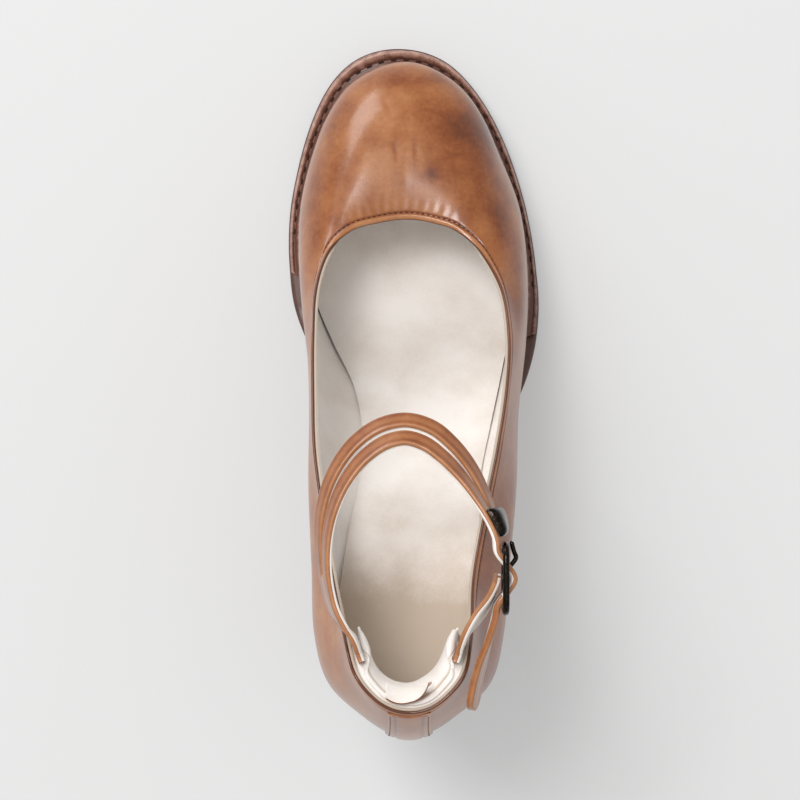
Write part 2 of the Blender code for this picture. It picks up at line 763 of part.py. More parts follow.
def make_prong():
    """Prong from the middle bar, through the strap's hole, to rest outside the front bar."""
    out = BUCKLE_OUT + BUCKLE_WIRE / 2 + PRONG_WIRE / 2 + GAP
    front = BUCKLE_ALONG + BUCKLE_LENGTH / 2
    path = [
        (BUCKLE_OUT, BUCKLE_ALONG + BUCKLE_WIRE / 2 + PRONG_WIRE / 2 + GAP, BUCKLE_HEIGHT),
        (out - GAP, BUCKLE_ALONG + PRONG_SEAT, BUCKLE_HEIGHT),
        (out + PRONG_ARCH, BUCKLE_ALONG + PRONG_SEAT + PRONG_BEND, BUCKLE_HEIGHT),
        (out + PRONG_ARCH / 2, front - PRONG_BEND, BUCKLE_HEIGHT),
        (out, front, BUCKLE_HEIGHT),
        (out, front + BUCKLE_WIRE / 2, BUCKLE_HEIGHT),
    ]
    points = np.array(path)
    knots = np.linspace(0, 1, len(points))
    at = np.linspace(0, 1, 16)
    smooth = np.stack([cubic(knots, points[:, axis], at) for axis in range(3)], -1)
    radius = PRONG_WIRE / 2 * np.where(at > 0.92, PRONG_TIP, 1.0)
    return tube("buckle_prong", smooth, radius, GUNMETAL, False)


def make_keeper():
    """Rounded metal bar on the strap's outer face in front of the buckle."""
    lengths = path_frames(ANKLE_PATH, 400)
    place = np.argmin(np.abs(lengths[1][:, 1] - KEEPER_ALONG) + (lengths[0] < 0.5))
    span = np.linalg.norm(np.diff(lengths[1], axis=0), axis=-1).sum()
    half = KEEPER_LENGTH / span / 2
    at = lengths[0][place]
    _, middle, outward, upward = path_frames(ANKLE_PATH, KEEPER_STEPS, at - half, at + half)
    full = np.sqrt(1 - np.linspace(-1, 1, KEEPER_STEPS) ** 4)
    thick = KEEPER_THICK * (KEEPER_END + (1 - KEEPER_END) * full)
    seat = STRAP_THICK / 2 + GAP
    outer = []
    inner = []
    for across, bulge in KEEPER_SECTION:
        edge = middle + upward * (STRAP_WIDTH / 2 * across)
        outer.append(edge + outward * (seat + thick * bulge)[:, None])
        inner.append(edge + outward * seat)
    return solid_of_sheet("strap_keeper", np.stack(outer, 0), np.stack(inner, 0), GUNMETAL, False)


def make_backstay():
    """Strip up the back seam of the counter, with two raised ribs."""
    around = np.linspace(-BACKSTAY_REACH, BACKSTAY_REACH, 13)
    up = np.linspace(BACKSTAY_FROM, BACKSTAY_TO, 10)
    around, up = np.meshgrid(around, up, indexing="ij")
    ribs = np.array([0, 0, 1, 0, 0, 0.5, 0.5, 0.5, 0, 0, 1, 0, 0]) * BACKSTAY_THICK / 3
    outer = upper_at(around, up, GAP + BACKSTAY_THICK + ribs[:, None])
    return solid_of_sheet("backstay", outer, upper_at(around, up, GAP), COGNAC)


def lining_surface(along, down):
    """Lining inside the collar: from its upper edge over a full line to the counter's inner face."""
    along, down = np.broadcast_arrays(np.asarray(along, float), np.asarray(down, float))
    around = np.mod(-along * LINING_REACH, 1.0)
    inset = LINING_INSET * cubic(LINING_EDGE["station"], LINING_EDGE["inset"], np.abs(along))
    crest = np.stack([
        cubic(LINING_CREST["station"], LINING_CREST["across"], along) * ANKLE_HALF_WIDTH,
        cubic(LINING_CREST["station"], LINING_CREST["along"], along) * ANKLE_REACH,
        cubic(LINING_CREST["station"], LINING_CREST["height"], along) * COLLAR_HEIGHT,
    ], -1)
    lines = [
        upper_at(around, LINING_TOP, -inset),
        crest,
        upper_at(around, LINING_FOOT, -WALL - GAP - LINING_THICK),
    ]
    v = down[..., None] * 2
    return lines[0] * (1 - v) * (2 - v) / 2 + lines[1] * v * (2 - v) + lines[2] * v * (v - 1) / 2


def make_collar_lining():
    """Soft lining that stands inside the heel collar."""
    along = np.linspace(-1, 1, 31)
    down = np.linspace(0, 1, 7)
    along, down = np.meshgrid(along, down, indexing="ij")
    middle = lining_surface(along, down)
    thin = 1 - (1 - LINING_END_THIN) * blend(np.abs(along), 0.85, 1.0)
    half = normals_of(lining_surface, along, down) * (thin * LINING_THICK / 2)[..., None]
    return solid_of_sheet("collar_lining", middle + half, middle - half, CREAM)


def main():
    """Clear the scene and build every piece of the shoe."""
    for old in list(bpy.data.objects):
        bpy.data.objects.remove(old, do_unlink=True)
    make_outsole()
    make_welt()
    make_insole()
    make_heel()
    make_top_piece()
    make_upper()
    make_backstay()
    make_collar_lining()
    make_ankle_strap()
    make_buckle_strap()
    make_buckle_frame()
    make_prong()
    make_keeper()


main()
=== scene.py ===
"""Looks of a right shoe: a closed round-toe pump with a split ankle strap and a dark buckle.

Every piece is worked out from the shoe's own sizes, in metres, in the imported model's frame: the
origin is the middle of the heel's tread, +X the outer side, +Y the toe and +Z up.
"""
from __future__ import annotations

import logging
import math
from dataclasses import dataclass, field
from enum import Enum, IntEnum
from typing import Any, Callable, Sequence

import bmesh
import bpy
import numpy as np
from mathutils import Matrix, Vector

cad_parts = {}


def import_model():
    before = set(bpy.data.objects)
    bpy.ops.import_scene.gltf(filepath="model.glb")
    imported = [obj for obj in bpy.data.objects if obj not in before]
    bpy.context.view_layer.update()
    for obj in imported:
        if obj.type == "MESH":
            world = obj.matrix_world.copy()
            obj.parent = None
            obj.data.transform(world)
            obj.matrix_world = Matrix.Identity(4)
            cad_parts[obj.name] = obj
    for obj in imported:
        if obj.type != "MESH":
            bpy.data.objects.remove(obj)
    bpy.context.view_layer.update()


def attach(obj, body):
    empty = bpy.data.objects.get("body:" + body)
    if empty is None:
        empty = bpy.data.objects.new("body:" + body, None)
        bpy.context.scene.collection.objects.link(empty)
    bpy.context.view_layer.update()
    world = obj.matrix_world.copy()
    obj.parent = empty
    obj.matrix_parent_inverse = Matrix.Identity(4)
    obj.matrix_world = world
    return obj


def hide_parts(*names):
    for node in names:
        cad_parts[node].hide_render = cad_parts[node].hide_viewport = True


LOG = logging.getLogger("pump")

MM = 0.001
BODY = "root"
UP = (0.0, 0.0, 1.0)
SHARP_ANGLE = math.radians(48)

Table = dict[str, np.ndarray]
Surface = Callable[[np.ndarray, np.ndarray], np.ndarray]


def table(columns: str, *rows: Sequence[float]) -> Any:
    """Data-class field for a short table of named columns, with one row for each section."""
    return field(default_factory=lambda: dict(zip(columns.split(), np.array(rows, dtype=float).T)))


def cubic(knots: np.ndarray, values: np.ndarray, at: np.ndarray) -> np.ndarray:
    """Smooth curve through the knots, by cubic pieces that share their slopes."""
    slopes = np.gradient(values, knots, edge_order=2)
    place = np.clip(np.searchsorted(knots, at, side="right") - 1, 0, len(knots) - 2)
    width = knots[place + 1] - knots[place]
    t = (at - knots[place]) / width
    start = (2 * t**3 - 3 * t**2 + 1) * values[place]
    start = start + (t**3 - 2 * t**2 + t) * width * slopes[place]
    end = (3 * t**2 - 2 * t**3) * values[place + 1] + (t**3 - t**2) * width * slopes[place + 1]
    return start + end


def blend(value: np.ndarray, start: float, end: float) -> np.ndarray:
    """Soft step from 0 at start to 1 at end."""
    t = np.clip((value - start) / (end - start), 0, 1)
    return t * t * (3 - 2 * t)


def bump(value: np.ndarray, middle: float, width: float) -> np.ndarray:
    """Soft bump of height 1 around a middle value."""
    return np.exp(-(((value - middle) / width) ** 2))


def unit(vectors: np.ndarray) -> np.ndarray:
    """Vectors scaled to length 1."""
    return vectors / np.maximum(np.linalg.norm(vectors, axis=-1, keepdims=True), 1e-12)


def rounded(share: np.ndarray, least: float) -> np.ndarray:
    """Quarter-round rise from a least value at 0 to 1 at 1."""
    return np.sqrt(np.clip(1 - (1 - np.clip(share, 0, 1)) ** 2, least, 1))


def matched(one: np.ndarray | float, two: np.ndarray | float) -> list[np.ndarray]:
    """Two sets of values as grids of one shape."""
    return np.broadcast_arrays(np.asarray(one, float), np.asarray(two, float))


def reach_along(points: np.ndarray) -> np.ndarray:
    """Distance along each row of points, from 0 at its start."""
    steps = np.linalg.norm(np.diff(points, axis=-2), axis=-1)
    return np.concatenate([np.zeros_like(steps[..., :1]), np.cumsum(steps, axis=-1)], -1)


def round_loop(count: int) -> np.ndarray:
    """Angles of a full turn, without the last."""
    return 2 * math.pi * np.arange(count) / count


def squared_off(values: np.ndarray, power: np.ndarray | float) -> np.ndarray:
    """Sines or cosines of a loop, drawn out towards square corners."""
    return np.sign(values) * np.abs(values) ** power


def column_at(rows: Table, name: str, around: np.ndarray) -> np.ndarray:
    """Column of a table at places around the shoe, where a station is a share of its length."""
    knots = np.arccos(1 - 2 * rows["station"]) / math.pi
    turn = 1 - np.abs(1 - 2 * np.mod(around, 1.0))
    return cubic(knots, rows[name], turn)


def add_object(name: str, data: bpy.types.ID) -> bpy.types.Object:
    """Put an object with a mesh, a light or a camera in the scene."""
    made = bpy.data.objects.new(name, data)
    bpy.context.scene.collection.objects.link(made)
    return made


def normals_of(surface: Surface, u: np.ndarray, v: np.ndarray) -> np.ndarray:
    """Unit normals of a surface by small steps to both sides.

    Args:
        surface: Function from (u, v) to points.
        u: First parameter.
        v: Second parameter.

    Returns:
        The cross product of the two directions, at length 1.
    """
    step = 1e-4
    along_u = surface(u + step, v) - surface(u - step, v)
    along_v = surface(u, v + step) - surface(u, v - step)
    return unit(np.cross(along_u, along_v))


@dataclass(frozen=True)
class Last:
    """The form that the shoe is built on: its sole line, its sections and its foot opening."""

    sole_back: float = -0.0275
    sole_length: float = 0.2347
    feather_set_back: float = 0.0020
    feather_set_toe: float = 0.0067
    counter_bulge: float = 0.0041
    toe_lean: float = 0.0055
    counter_lean: float = 0.0115
    throat_set: float = 0.0556
    cap_set: float = 0.0295
    ball_width: float = 0.0894
    heel_height: float = 0.0775
    toe_spring: float = 0.0070
    collar_height: float = 0.1500
    wall: float = 0.0020
    outsole_thick: float = 0.0050
    shank_thick: float = 0.0036
    welt_thick: float = 0.0033
    insole_thick: float = 0.0052
    gap: float = 0.0003
    seat_gap: float = 0.0005
    tread_end: float = 0.76
    shank_end: tuple[float, float] = (0.40, 0.56)
    spring_power: float = 1.7
    welt_medial_end: float = 0.303
    welt_lateral_end: float = 0.728
    welt_taper: float = 0.035
    search_depth: float = 0.6
    search_steps: int = 121
    arch: Table = table(
        "station height",
        (0.00, 1.030),
        (0.117, 1.000),
        (0.180, 0.962),
        (0.232, 0.910),
        (0.288, 0.805),
        (0.351, 0.635),
        (0.415, 0.435),
        (0.479, 0.235),
        (0.522, 0.120),
        (0.565, 0.035),
        (0.603, 0.000),
        (0.660, 0.000),
        (1.000, 0.000),
    )
    sole_outline: Table = table(
        "station medial lateral",
        (0.000, 0.000, 0.000),
        (0.019, 0.270, 0.270),
        (0.058, 0.450, 0.450),
        (0.117, 0.580, 0.580),
        (0.200, 0.590, 0.590),
        (0.290, 0.490, 0.570),
        (0.370, 0.430, 0.610),
        (0.440, 0.460, 0.790),
        (0.490, 0.600, 0.920),
        (0.545, 0.780, 1.010),
        (0.600, 0.900, 1.045),
        (0.675, 0.955, 1.020),
        (0.750, 0.950, 0.955),
        (0.820, 0.885, 0.850),
        (0.893, 0.770, 0.685),
        (0.948, 0.620, 0.490),
        (0.985, 0.410, 0.260),
        (1.000, 0.083, -0.083),
    )
    feather: Table = table(
        "station medial lateral",
        (0.000, 0.010, -0.010),
        (0.016, 0.220, 0.220),
        (0.050, 0.400, 0.400),
        (0.114, 0.530, 0.530),
        (0.180, 0.555, 0.560),
        (0.270, 0.480, 0.560),
        (0.360, 0.390, 0.580),
        (0.430, 0.385, 0.670),
        (0.490, 0.455, 0.750),
        (0.560, 0.635, 0.830),
        (0.630, 0.785, 0.905),
        (0.700, 0.842, 0.905),
        (0.770, 0.826, 0.839),
        (0.830, 0.761, 0.738),
        (0.886, 0.670, 0.628),
        (0.930, 0.562, 0.509),
        (0.965, 0.430, 0.352),
        (0.988, 0.232, 0.165),
        (1.000, 0.030, -0.030),
    )
    belly: Table = table(
        "station medial lateral",
        (0.00, 0.000, 0.000),
        (0.03, 0.335, 0.335),
        (0.08, 0.600, 0.605),
        (0.15, 0.705, 0.705),
        (0.25, 0.730, 0.755),
        (0.38, 0.745, 0.815),
        (0.50, 0.750, 0.850),
        (0.60, 0.795, 0.925),
        (0.70, 0.860, 0.935),
        (0.78, 0.854, 0.884),
        (0.86, 0.760, 0.733),
        (0.91, 0.662, 0.620),
        (0.95, 0.536, 0.486),
        (0.98, 0.372, 0.312),
        (1.00, 0.025, -0.025),
    )
    shoulder: Table = table(
        "station medial lateral",
        (0.00, 0.000, 0.000),
        (0.03, 0.290, 0.290),
        (0.08, 0.485, 0.490),
        (0.15, 0.575, 0.570),
        (0.25, 0.655, 0.665),
        (0.38, 0.722, 0.760),
        (0.50, 0.748, 0.815),
        (0.60, 0.770, 0.860),
        (0.70, 0.815, 0.885),
        (0.78, 0.800, 0.835),
        (0.86, 0.703, 0.712),
        (0.93, 0.542, 0.532),
        (0.98, 0.325, 0.290),
        (1.00, 0.030, -0.030),
    )
    opening: Table = table(
        "station along medial lateral medial_height lateral_height",
        (0.00, 0.000, 0.000, 0.000, 1.000, 1.000),
        (0.03, 0.030, 0.270, 0.270, 0.999, 0.999),
        (0.08, 0.081, 0.410, 0.410, 0.990, 0.990),
        (0.12, 0.121, 0.455, 0.445, 0.960, 0.957),
        (0.15, 0.152, 0.482, 0.462, 0.920, 0.915),
        (0.25, 0.253, 0.570, 0.480, 0.800, 0.795),
        (0.38, 0.390, 0.655, 0.575, 0.702, 0.697),
        (0.50, 0.521, 0.722, 0.680, 0.615, 0.610),
        (0.60, 0.633, 0.737, 0.750, 0.548, 0.535),
        (0.70, 0.744, 0.742, 0.776, 0.476, 0.455),
        (0.78, 0.840, 0.729, 0.735, 0.412, 0.395),
        (0.86, 0.925, 0.640, 0.575, 0.362, 0.353),
        (0.93, 0.973, 0.455, 0.380, 0.337, 0.335),
        (0.98, 0.992, 0.240, 0.190, 0.324, 0.324),
        (1.00, 1.000, 0.013, -0.013, 0.320, 0.320),
        )
    rise: Table = table(
        "station belly shoulder",
        (0.00, 0.330, 0.670),
        (0.38, 0.340, 0.680),
        (0.60, 0.350, 0.690),
        (0.70, 0.350, 0.690),
        (0.78, 0.395, 0.735),
        (0.86, 0.470, 0.815),
        (0.93, 0.540, 0.885),
        (1.00, 0.590, 0.930),
    )

    @property
    def feather_back(self) -> float:
        """Place of the feather edge at the back."""
        return self.sole_back + self.feather_set_back

    @property
    def feather_front(self) -> float:
        """Place of the feather edge at the toe."""
        return self.sole_back + self.sole_length - self.feather_set_toe

    def place(self, across: float, station: float) -> np.ndarray:
        """Plan point from a share of the ball width and a share of the sole's length."""
        return np.array([across * self.ball_width, self.sole_back + station * self.sole_length])

    def half_width(self, outline: Table, around: np.ndarray) -> np.ndarray:
        """Half width at a place around the shoe: 0 back, 0.25 medial, 0.5 toe, 0.75 lateral."""
        medial = column_at(outline, "medial", around)
        lateral = column_at(outline, "lateral", around)
        return np.where(np.mod(around, 1.0) <= 0.5, -medial, lateral) * self.ball_width / 2

    def ring(self, outline: Table, around: np.ndarray, back: float, front: float) -> np.ndarray:
        """Plan of one closed outline between its back and front places along the shoe."""
        along = back + (front - back) * (1 - np.cos(2 * math.pi * around)) / 2
        return np.stack([self.half_width(outline, around), along], -1)

    def sole_ring(self, around: np.ndarray) -> np.ndarray:
        """Plan of the sole's edge."""
        front = self.sole_back + self.sole_length
        return self.ring(self.sole_outline, around, self.sole_back, front)

    def arch_height(self, along: np.ndarray) -> np.ndarray:
        """Height of the sole's underside: heel seat, shank, flat tread and toe spring."""
        station = np.clip((along - self.sole_back) / self.sole_length, 0, 1)
        shank = np.maximum(cubic(self.arch["station"], self.arch["height"], station), 0)
        beyond = np.maximum(station - self.tread_end, 0) / (1 - self.tread_end)
        return self.heel_height * shank + self.toe_spring * beyond**self.spring_power

    def outsole_top(self, along: np.ndarray) -> np.ndarray:
        """Height of the outsole's upper face, thinner at the shank and seat."""
        station = (along - self.sole_back) / self.sole_length
        extra = (self.outsole_thick - self.shank_thick) * blend(station, *self.shank_end)
        return self.arch_height(along) + self.shank_thick + extra

    def welt_height(self, around: np.ndarray) -> np.ndarray:
        """Thickness of the welt around the shoe, run out to nothing at its two ends."""
        taper = self.welt_taper
        first, last = self.welt_medial_end, self.welt_lateral_end
        rise = blend(around, first - taper, first + taper)
        fall = 1 - blend(around, last - taper, last + taper)
        return self.welt_thick * rise * fall

    def feather_edge(self, around: np.ndarray) -> np.ndarray:
        """Lower edge of the upper, on the welt or on the outsole."""
        plan = self.ring(self.feather, around, self.feather_back, self.feather_front)
        welt = self.welt_height(around) * (1 + self.seat_gap / self.welt_thick)
        height = self.outsole_top(plan[..., 1]) + self.seat_gap + welt
        return np.concatenate([plan, height[..., None]], -1)

    def topline(self, around: np.ndarray) -> np.ndarray:
        """Upper edge of the upper: the foot opening and the collar."""
        back = self.feather_back - self.counter_bulge + self.counter_lean
        front = self.feather_front - self.throat_set
        along = back + (front - back) * column_at(self.opening, "along", around)
        medial = column_at(self.opening, "medial_height", around)
        lateral = column_at(self.opening, "lateral_height", around)
        height = np.where(np.mod(around, 1.0) <= 0.5, medial, lateral) * self.collar_height
        return np.stack([self.half_width(self.opening, around), along, height], -1)

    def skin(self, around: np.ndarray, up: np.ndarray) -> np.ndarray:
        """Outer face of the upper: a cubic through foot, belly, shoulder and top."""
        around, up = matched(around, up)
        foot, top = self.feather_edge(around), self.topline(around)
        counter, toe = self.feather_back - self.counter_bulge, self.feather_front
        rings = [foot]
        for outline, column, back, front in (
            (self.belly, "belly", counter, toe - self.toe_lean),
            (self.shoulder, "shoulder", counter + self.counter_lean / 3, toe - self.cap_set),
        ):
            plan = self.ring(outline, around, back, front)
            rise = column_at(self.rise, column, around)
            height = foot[..., 2] + rise * (top[..., 2] - foot[..., 2])
            rings.append(np.concatenate([plan, height[..., None]], -1))
        rings.append(top)
        v = up[..., None] * 3
        shares = (
            (1 - v) * (2 - v) * (3 - v) / 6,
            v * (2 - v) * (3 - v) / 2,
            v * (v - 1) * (3 - v) / 2,
            v * (v - 1) * (v - 2) / 6,
        )
        return sum(share * loop for share, loop in zip(shares, rings))

    def outward(self, around: np.ndarray, up: np.ndarray) -> np.ndarray:
        """Direction out of the upper's face."""
        return -normals_of(self.skin, *matched(around, up))

    def skin_at(
        self, around: np.ndarray, up: np.ndarray | float, out: np.ndarray | float
    ) -> np.ndarray:
        """Point of the upper moved out of its outer face by a distance."""
        around, up = matched(around, up)
        out = np.broadcast_to(np.asarray(out, float), around.shape)
        return self.skin(around, up) + self.outward(around, up) * out[..., None]

    def up_below(self, around: np.ndarray, distances: np.ndarray) -> np.ndarray:
        """Up shares that lie at some distances below the top edge, measured on the upper's face.

        Args:
            around: Places around the shoe.
            distances: Distances down from the top edge.

        Returns:
            A row of up shares for each place.
        """
        down = np.linspace(0, self.search_depth, self.search_steps)
        reach = reach_along(self.skin(around[:, None], 1 - down[None, :]))
        return 1 - np.stack([np.interp(distances, row, down) for row in reach])


LAST = Last()


class Piece:
    """One object in the making: points and faces with a material slot and a tone for each."""

    def __init__(self, name: str) -> None:
        self.name = name
        self.points: list[np.ndarray] = []
        self.tones: list[np.ndarray] = []
        self.faces: list[tuple[int, ...]] = []
        self.slots: list[int] = []
        self.count = 0

    def add_points(self, points: np.ndarray, tone: np.ndarray | float = 0.0) -> int:
        """Add points and return the number of the first."""
        flat = points.reshape(-1, 3)
        first = self.count
        self.points.append(flat)
        self.tones.append(np.broadcast_to(np.asarray(tone, float), points.shape[:-1]).reshape(-1))
        self.count += len(flat)
        return first

    def add_grid(
        self,
        points: np.ndarray,
        slots: np.ndarray | int = 0,
        tone: np.ndarray | float = 0.0,
        loop_rows: bool = False,
        loop_columns: bool = False,
    ) -> None:
        """Add a grid of points with a face in each cell.

        Args:
            points: Grid of shape (rows, columns, 3).
            slots: Material slot of each column of cells, or of all.
            tone: Tone value of each point: burnish, painted shade in grooves and folds, painted
                highlight where negative.
            loop_rows: Whether the last row joins the first.
            loop_columns: Whether the last column joins the first.
        """
        rows, columns = points.shape[:2]
        first = self.add_points(points, tone)
        tall = rows if loop_rows else rows - 1
        wide = columns if loop_columns else columns - 1
        row, column = np.meshgrid(np.arange(tall), np.arange(wide), indexing="ij")
        below, after = (row + 1) % rows, (column + 1) % columns
        corners = np.stack([
            row * columns + column, row * columns + after,
            below * columns + after, below * columns + column,
        ], -1).reshape(-1, 4) + first
        self.faces += [tuple(corner) for corner in corners.tolist()]
        self.slots += np.broadcast_to(np.asarray(slots), (tall, wide)).reshape(-1).tolist()

    def add_caps(self, points: np.ndarray, slot: int = 0) -> None:
        """Close the first and last row of a tube of closed loops with their own points."""
        for loop in (points[0], points[-1][::-1]):
            middle = loop.mean(axis=0, keepdims=True)
            first = self.add_points(np.concatenate([loop, middle]))
            size = len(loop)
            for place in range(size):
                self.faces.append((first + place, first + (place + 1) % size, first + size))
                self.slots.append(slot)

    def finish(
        self, materials: Sequence[bpy.types.Material], slot: str, weld: float = 2e-6
    ) -> bpy.types.Object:
        """Make the object, weld its doubles and turn its faces outward.

        Args:
            materials: One material for each slot number.
            slot: Material slot of the record that the piece belongs to; not used.
            weld: Distance within which points become one.

        Returns:
            The finished object, riding on the shoe's body.
        """
        mesh = bpy.data.meshes.new(self.name)
        mesh.from_pydata(np.concatenate(self.points).tolist(), [], self.faces)
        tone = mesh.attributes.new("tone", "FLOAT", "POINT")
        tone.data.foreach_set("value", np.concatenate(self.tones).astype(np.float32))
        mesh.polygons.foreach_set("material_index", np.array(self.slots, dtype=np.int32))
        for material in materials:
            mesh.materials.append(material)
        shape = bmesh.new()
        shape.from_mesh(mesh)
        bmesh.ops.remove_doubles(shape, verts=shape.verts, dist=weld)
        bmesh.ops.recalc_face_normals(shape, faces=shape.faces)
        shape.to_mesh(mesh)
        shape.free()
        mesh.shade_smooth()
        mesh.set_sharp_from_angle(angle=SHARP_ANGLE)
        made = add_object(self.name, mesh)
        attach(made, BODY)
        LOG.info("%s: %d faces", self.name, len(mesh.polygons))
        return made


class Tint(Enum):
    """Colours of the shoe, as sRGB hex."""

    COGNAC_DEEP = "5e2a06"
    COGNAC_DARK = "7c3f14"
    COGNAC = "965b2e"
    COGNAC_LIGHT = "ab754c"
    COGNAC_EDGE = "4f280f"
    CREAM = "e8e3de"
    CREAM_SHADE = "d8cec5"
    CREAM_MOTTLE_AND_PAINTED_SHADE = "b5a594"
    WELT_DARK = "5c3628"
    WELT_LIGHT = "d6aa98"
    SOLE = "40271f"
    TREAD = "5b3d2c"
    STACK = "4a2d20"
    STACK_LINE = "2a1811"
    RUBBER = "1d1a19"
    METAL = "231e1b"
    METAL_WORN = "544c47"
    THREAD = "2f1a10"
    HOLE_PAINTED_SHADE = "2c1810"
    FLOOR = "b2b2b2"

    def linear(self) -> tuple[float, float, float, float]:
        """The colour as linear light."""
        parts = [int(self.value[place:place + 2], 16) / 255 for place in (0, 2, 4)]
        light = [
            part / 12.92 if part <= 0.04045 else ((part + 0.055) / 1.055) ** 2.4 for part in parts
        ]
        return (*light, 1.0)


class Shader:
    """One node material in the making, on object coordinates in millimetres."""

    def __init__(self, name: str) -> None:
        self.material = bpy.data.materials.new(name)
        self.material.use_nodes = True
        self.tree = self.material.node_tree
        self.surface = self.tree.nodes["Principled BSDF"]
        place = self.add("ShaderNodeTexCoord")
        scale = self.add("ShaderNodeVectorMath", operation="SCALE")
        scale.inputs["Scale"].default_value = 1 / MM
        self.join(place.outputs["Object"], scale.inputs[0])
        self.millimetres = scale.outputs[0]

    def add(self, kind: str, **settings: object) -> bpy.types.Node:
        """Add a node with its settings, where a name that it lacks is one of its inputs."""
        node = self.tree.nodes.new(kind)
        for name, value in settings.items():
            if hasattr(node, name):
                setattr(node, name, value)
            else:
                node.inputs[name.replace("_", " ").title()].default_value = value
        return node

    def join(self, source: bpy.types.NodeSocket, target: bpy.types.NodeSocket) -> None:
        """Link two sockets."""
        self.tree.links.new(source, target)

    def noise(
        self, size_mm: float, detail: float = 2.0, rough: float = 0.5
    ) -> bpy.types.NodeSocket:
        """Soft noise whose blotches are about a size across."""
        node = self.add(
            "ShaderNodeTexNoise", scale=1 / size_mm, detail=detail, roughness=rough)
        self.join(self.millimetres, node.inputs["Vector"])
        return node.outputs["Fac"]

    def cells(self, size_mm: float) -> bpy.types.NodeSocket:
        """Pebbles of a leather's grain, as a distance from each one's middle."""
        node = self.add("ShaderNodeTexVoronoi", scale=1 / size_mm, feature="SMOOTH_F1")
        self.join(self.millimetres, node.inputs["Vector"])
        return node.outputs["Distance"]

    def maths(self, operation: str, *values: float | bpy.types.NodeSocket) -> bpy.types.NodeSocket:
        """Sum, product or other small step on values or sockets."""
        node = self.add("ShaderNodeMath", operation=operation)
        for place, value in enumerate(values):
            if isinstance(value, (int, float)):
                node.inputs[place].default_value = value
            else:
                self.join(value, node.inputs[place])
        return node.outputs[0]

    def vary(
        self, level: float | bpy.types.NodeSocket, fac: bpy.types.NodeSocket, depth: float
    ) -> bpy.types.NodeSocket:
        """A level that noise moves up and down by half a depth."""
        if isinstance(level, float):
            return self.maths("MULTIPLY_ADD", fac, depth, level - depth / 2)
        return self.maths("MULTIPLY_ADD", fac, depth, self.maths("SUBTRACT", level, depth / 2))

    def burnished(self, level: bpy.types.NodeSocket, weight: float) -> bpy.types.NodeSocket:
        """A level made darker by the tone value that the mesh carries: burnish, painted shade, and
        where negative a painted highlight.
        """
        tone = self.add("ShaderNodeAttribute", attribute_name="tone").outputs["Fac"]
        return self.maths("SUBTRACT", level, self.maths("MULTIPLY", tone, weight))

    def colour(self, fac: bpy.types.NodeSocket, *stops: tuple[float, Tint]) -> None:
        """Colour the surface by stops along a value."""
        node = self.add("ShaderNodeValToRGB")
        elements = node.color_ramp.elements
        while len(elements) < len(stops):
            elements.new(0.5)
        for element, (place, tint) in zip(elements, stops):
            element.position = place
            element.color = tint.linear()
        self.join(fac, node.inputs["Fac"])
        self.join(node.outputs["Color"], self.surface.inputs["Base Color"])

    def roughness(self, fac: bpy.types.NodeSocket, low: float, high: float) -> None:
        """Roughen the surface by a value from 0 to 1 that is spread over a range."""
        spread = self.maths("MULTIPLY_ADD", fac, high - low, low)
        self.join(spread, self.surface.inputs["Roughness"])

    def relief(self, *layers: tuple[bpy.types.NodeSocket, float]) -> None:
        """Bump from several heights, each with its depth in millimetres."""
        total: bpy.types.NodeSocket | None = None
        for fac, depth in layers:
            layer = self.maths("MULTIPLY", fac, depth)
            total = layer if total is None else self.maths("ADD", total, layer)
        node = self.add("ShaderNodeBump", strength=1.0, distance=MM)
        self.join(total, node.inputs["Height"])
        self.join(node.outputs["Normal"], self.surface.inputs["Normal"])

    def set(self, **values: float) -> None:
        """Set the surface's own even values."""
        for name, value in values.items():
            title = name.replace("_", " ").title().replace("Ior", "IOR")
            self.surface.inputs[title].default_value = value


@dataclass(frozen=True)
class Burnished:
    """Glossy cognac leather: mottled by hand, dark in patches, with a tight smooth grain."""

    name: str
    blotch_mm: float = 13.0
    mottle_mm: float = 1.6
    speck_mm: float = 0.35
    pore_mm: float = 0.55
    gloss: float = 0.30
    middle: float = 0.62
    depth: float = 0.62
    mottle: float = 0.26
    speck: float = 0.12
    burnish_and_painted_light: float = 0.55

    def make(self) -> bpy.types.Material:
        """Broad blotches and fine specks vary the brown, and pores break the highlight softly."""
        shader = Shader(self.name)
        broad = shader.noise(self.blotch_mm, 3.0, 0.55)
        fine = shader.noise(self.mottle_mm, 4.0, 0.65)
        level = shader.vary(self.middle, broad, self.depth)
        level = shader.vary(level, fine, self.mottle)
        level = shader.vary(level, shader.noise(self.speck_mm, 2.0, 0.6), self.speck)
        # The tone value darkens the brown: burnish, painted shade on the upper's outer side and
        # seam, and a painted highlight where it is negative.
        shader.colour(
            shader.burnished(level, self.burnish_and_painted_light),
            (0.05, Tint.COGNAC_EDGE),
            (0.26, Tint.COGNAC_DEEP),
            (0.42, Tint.COGNAC_DARK),
            (0.62, Tint.COGNAC),
            (0.86, Tint.COGNAC_LIGHT),
        )
        worn = shader.maths("MULTIPLY_ADD", fine, 0.6, shader.maths("MULTIPLY", broad, 0.4))
        shader.roughness(worn, self.gloss - 0.06, self.gloss + 0.16)
        shader.relief(
            (shader.cells(self.pore_mm), 0.020),
            (shader.noise(0.18, 2.0), 0.010),
            (shader.noise(4.5, 2.0), 0.10),
        )
        shader.set(coat_weight=0.55, coat_roughness=0.17, ior=1.38)
        return shader.material


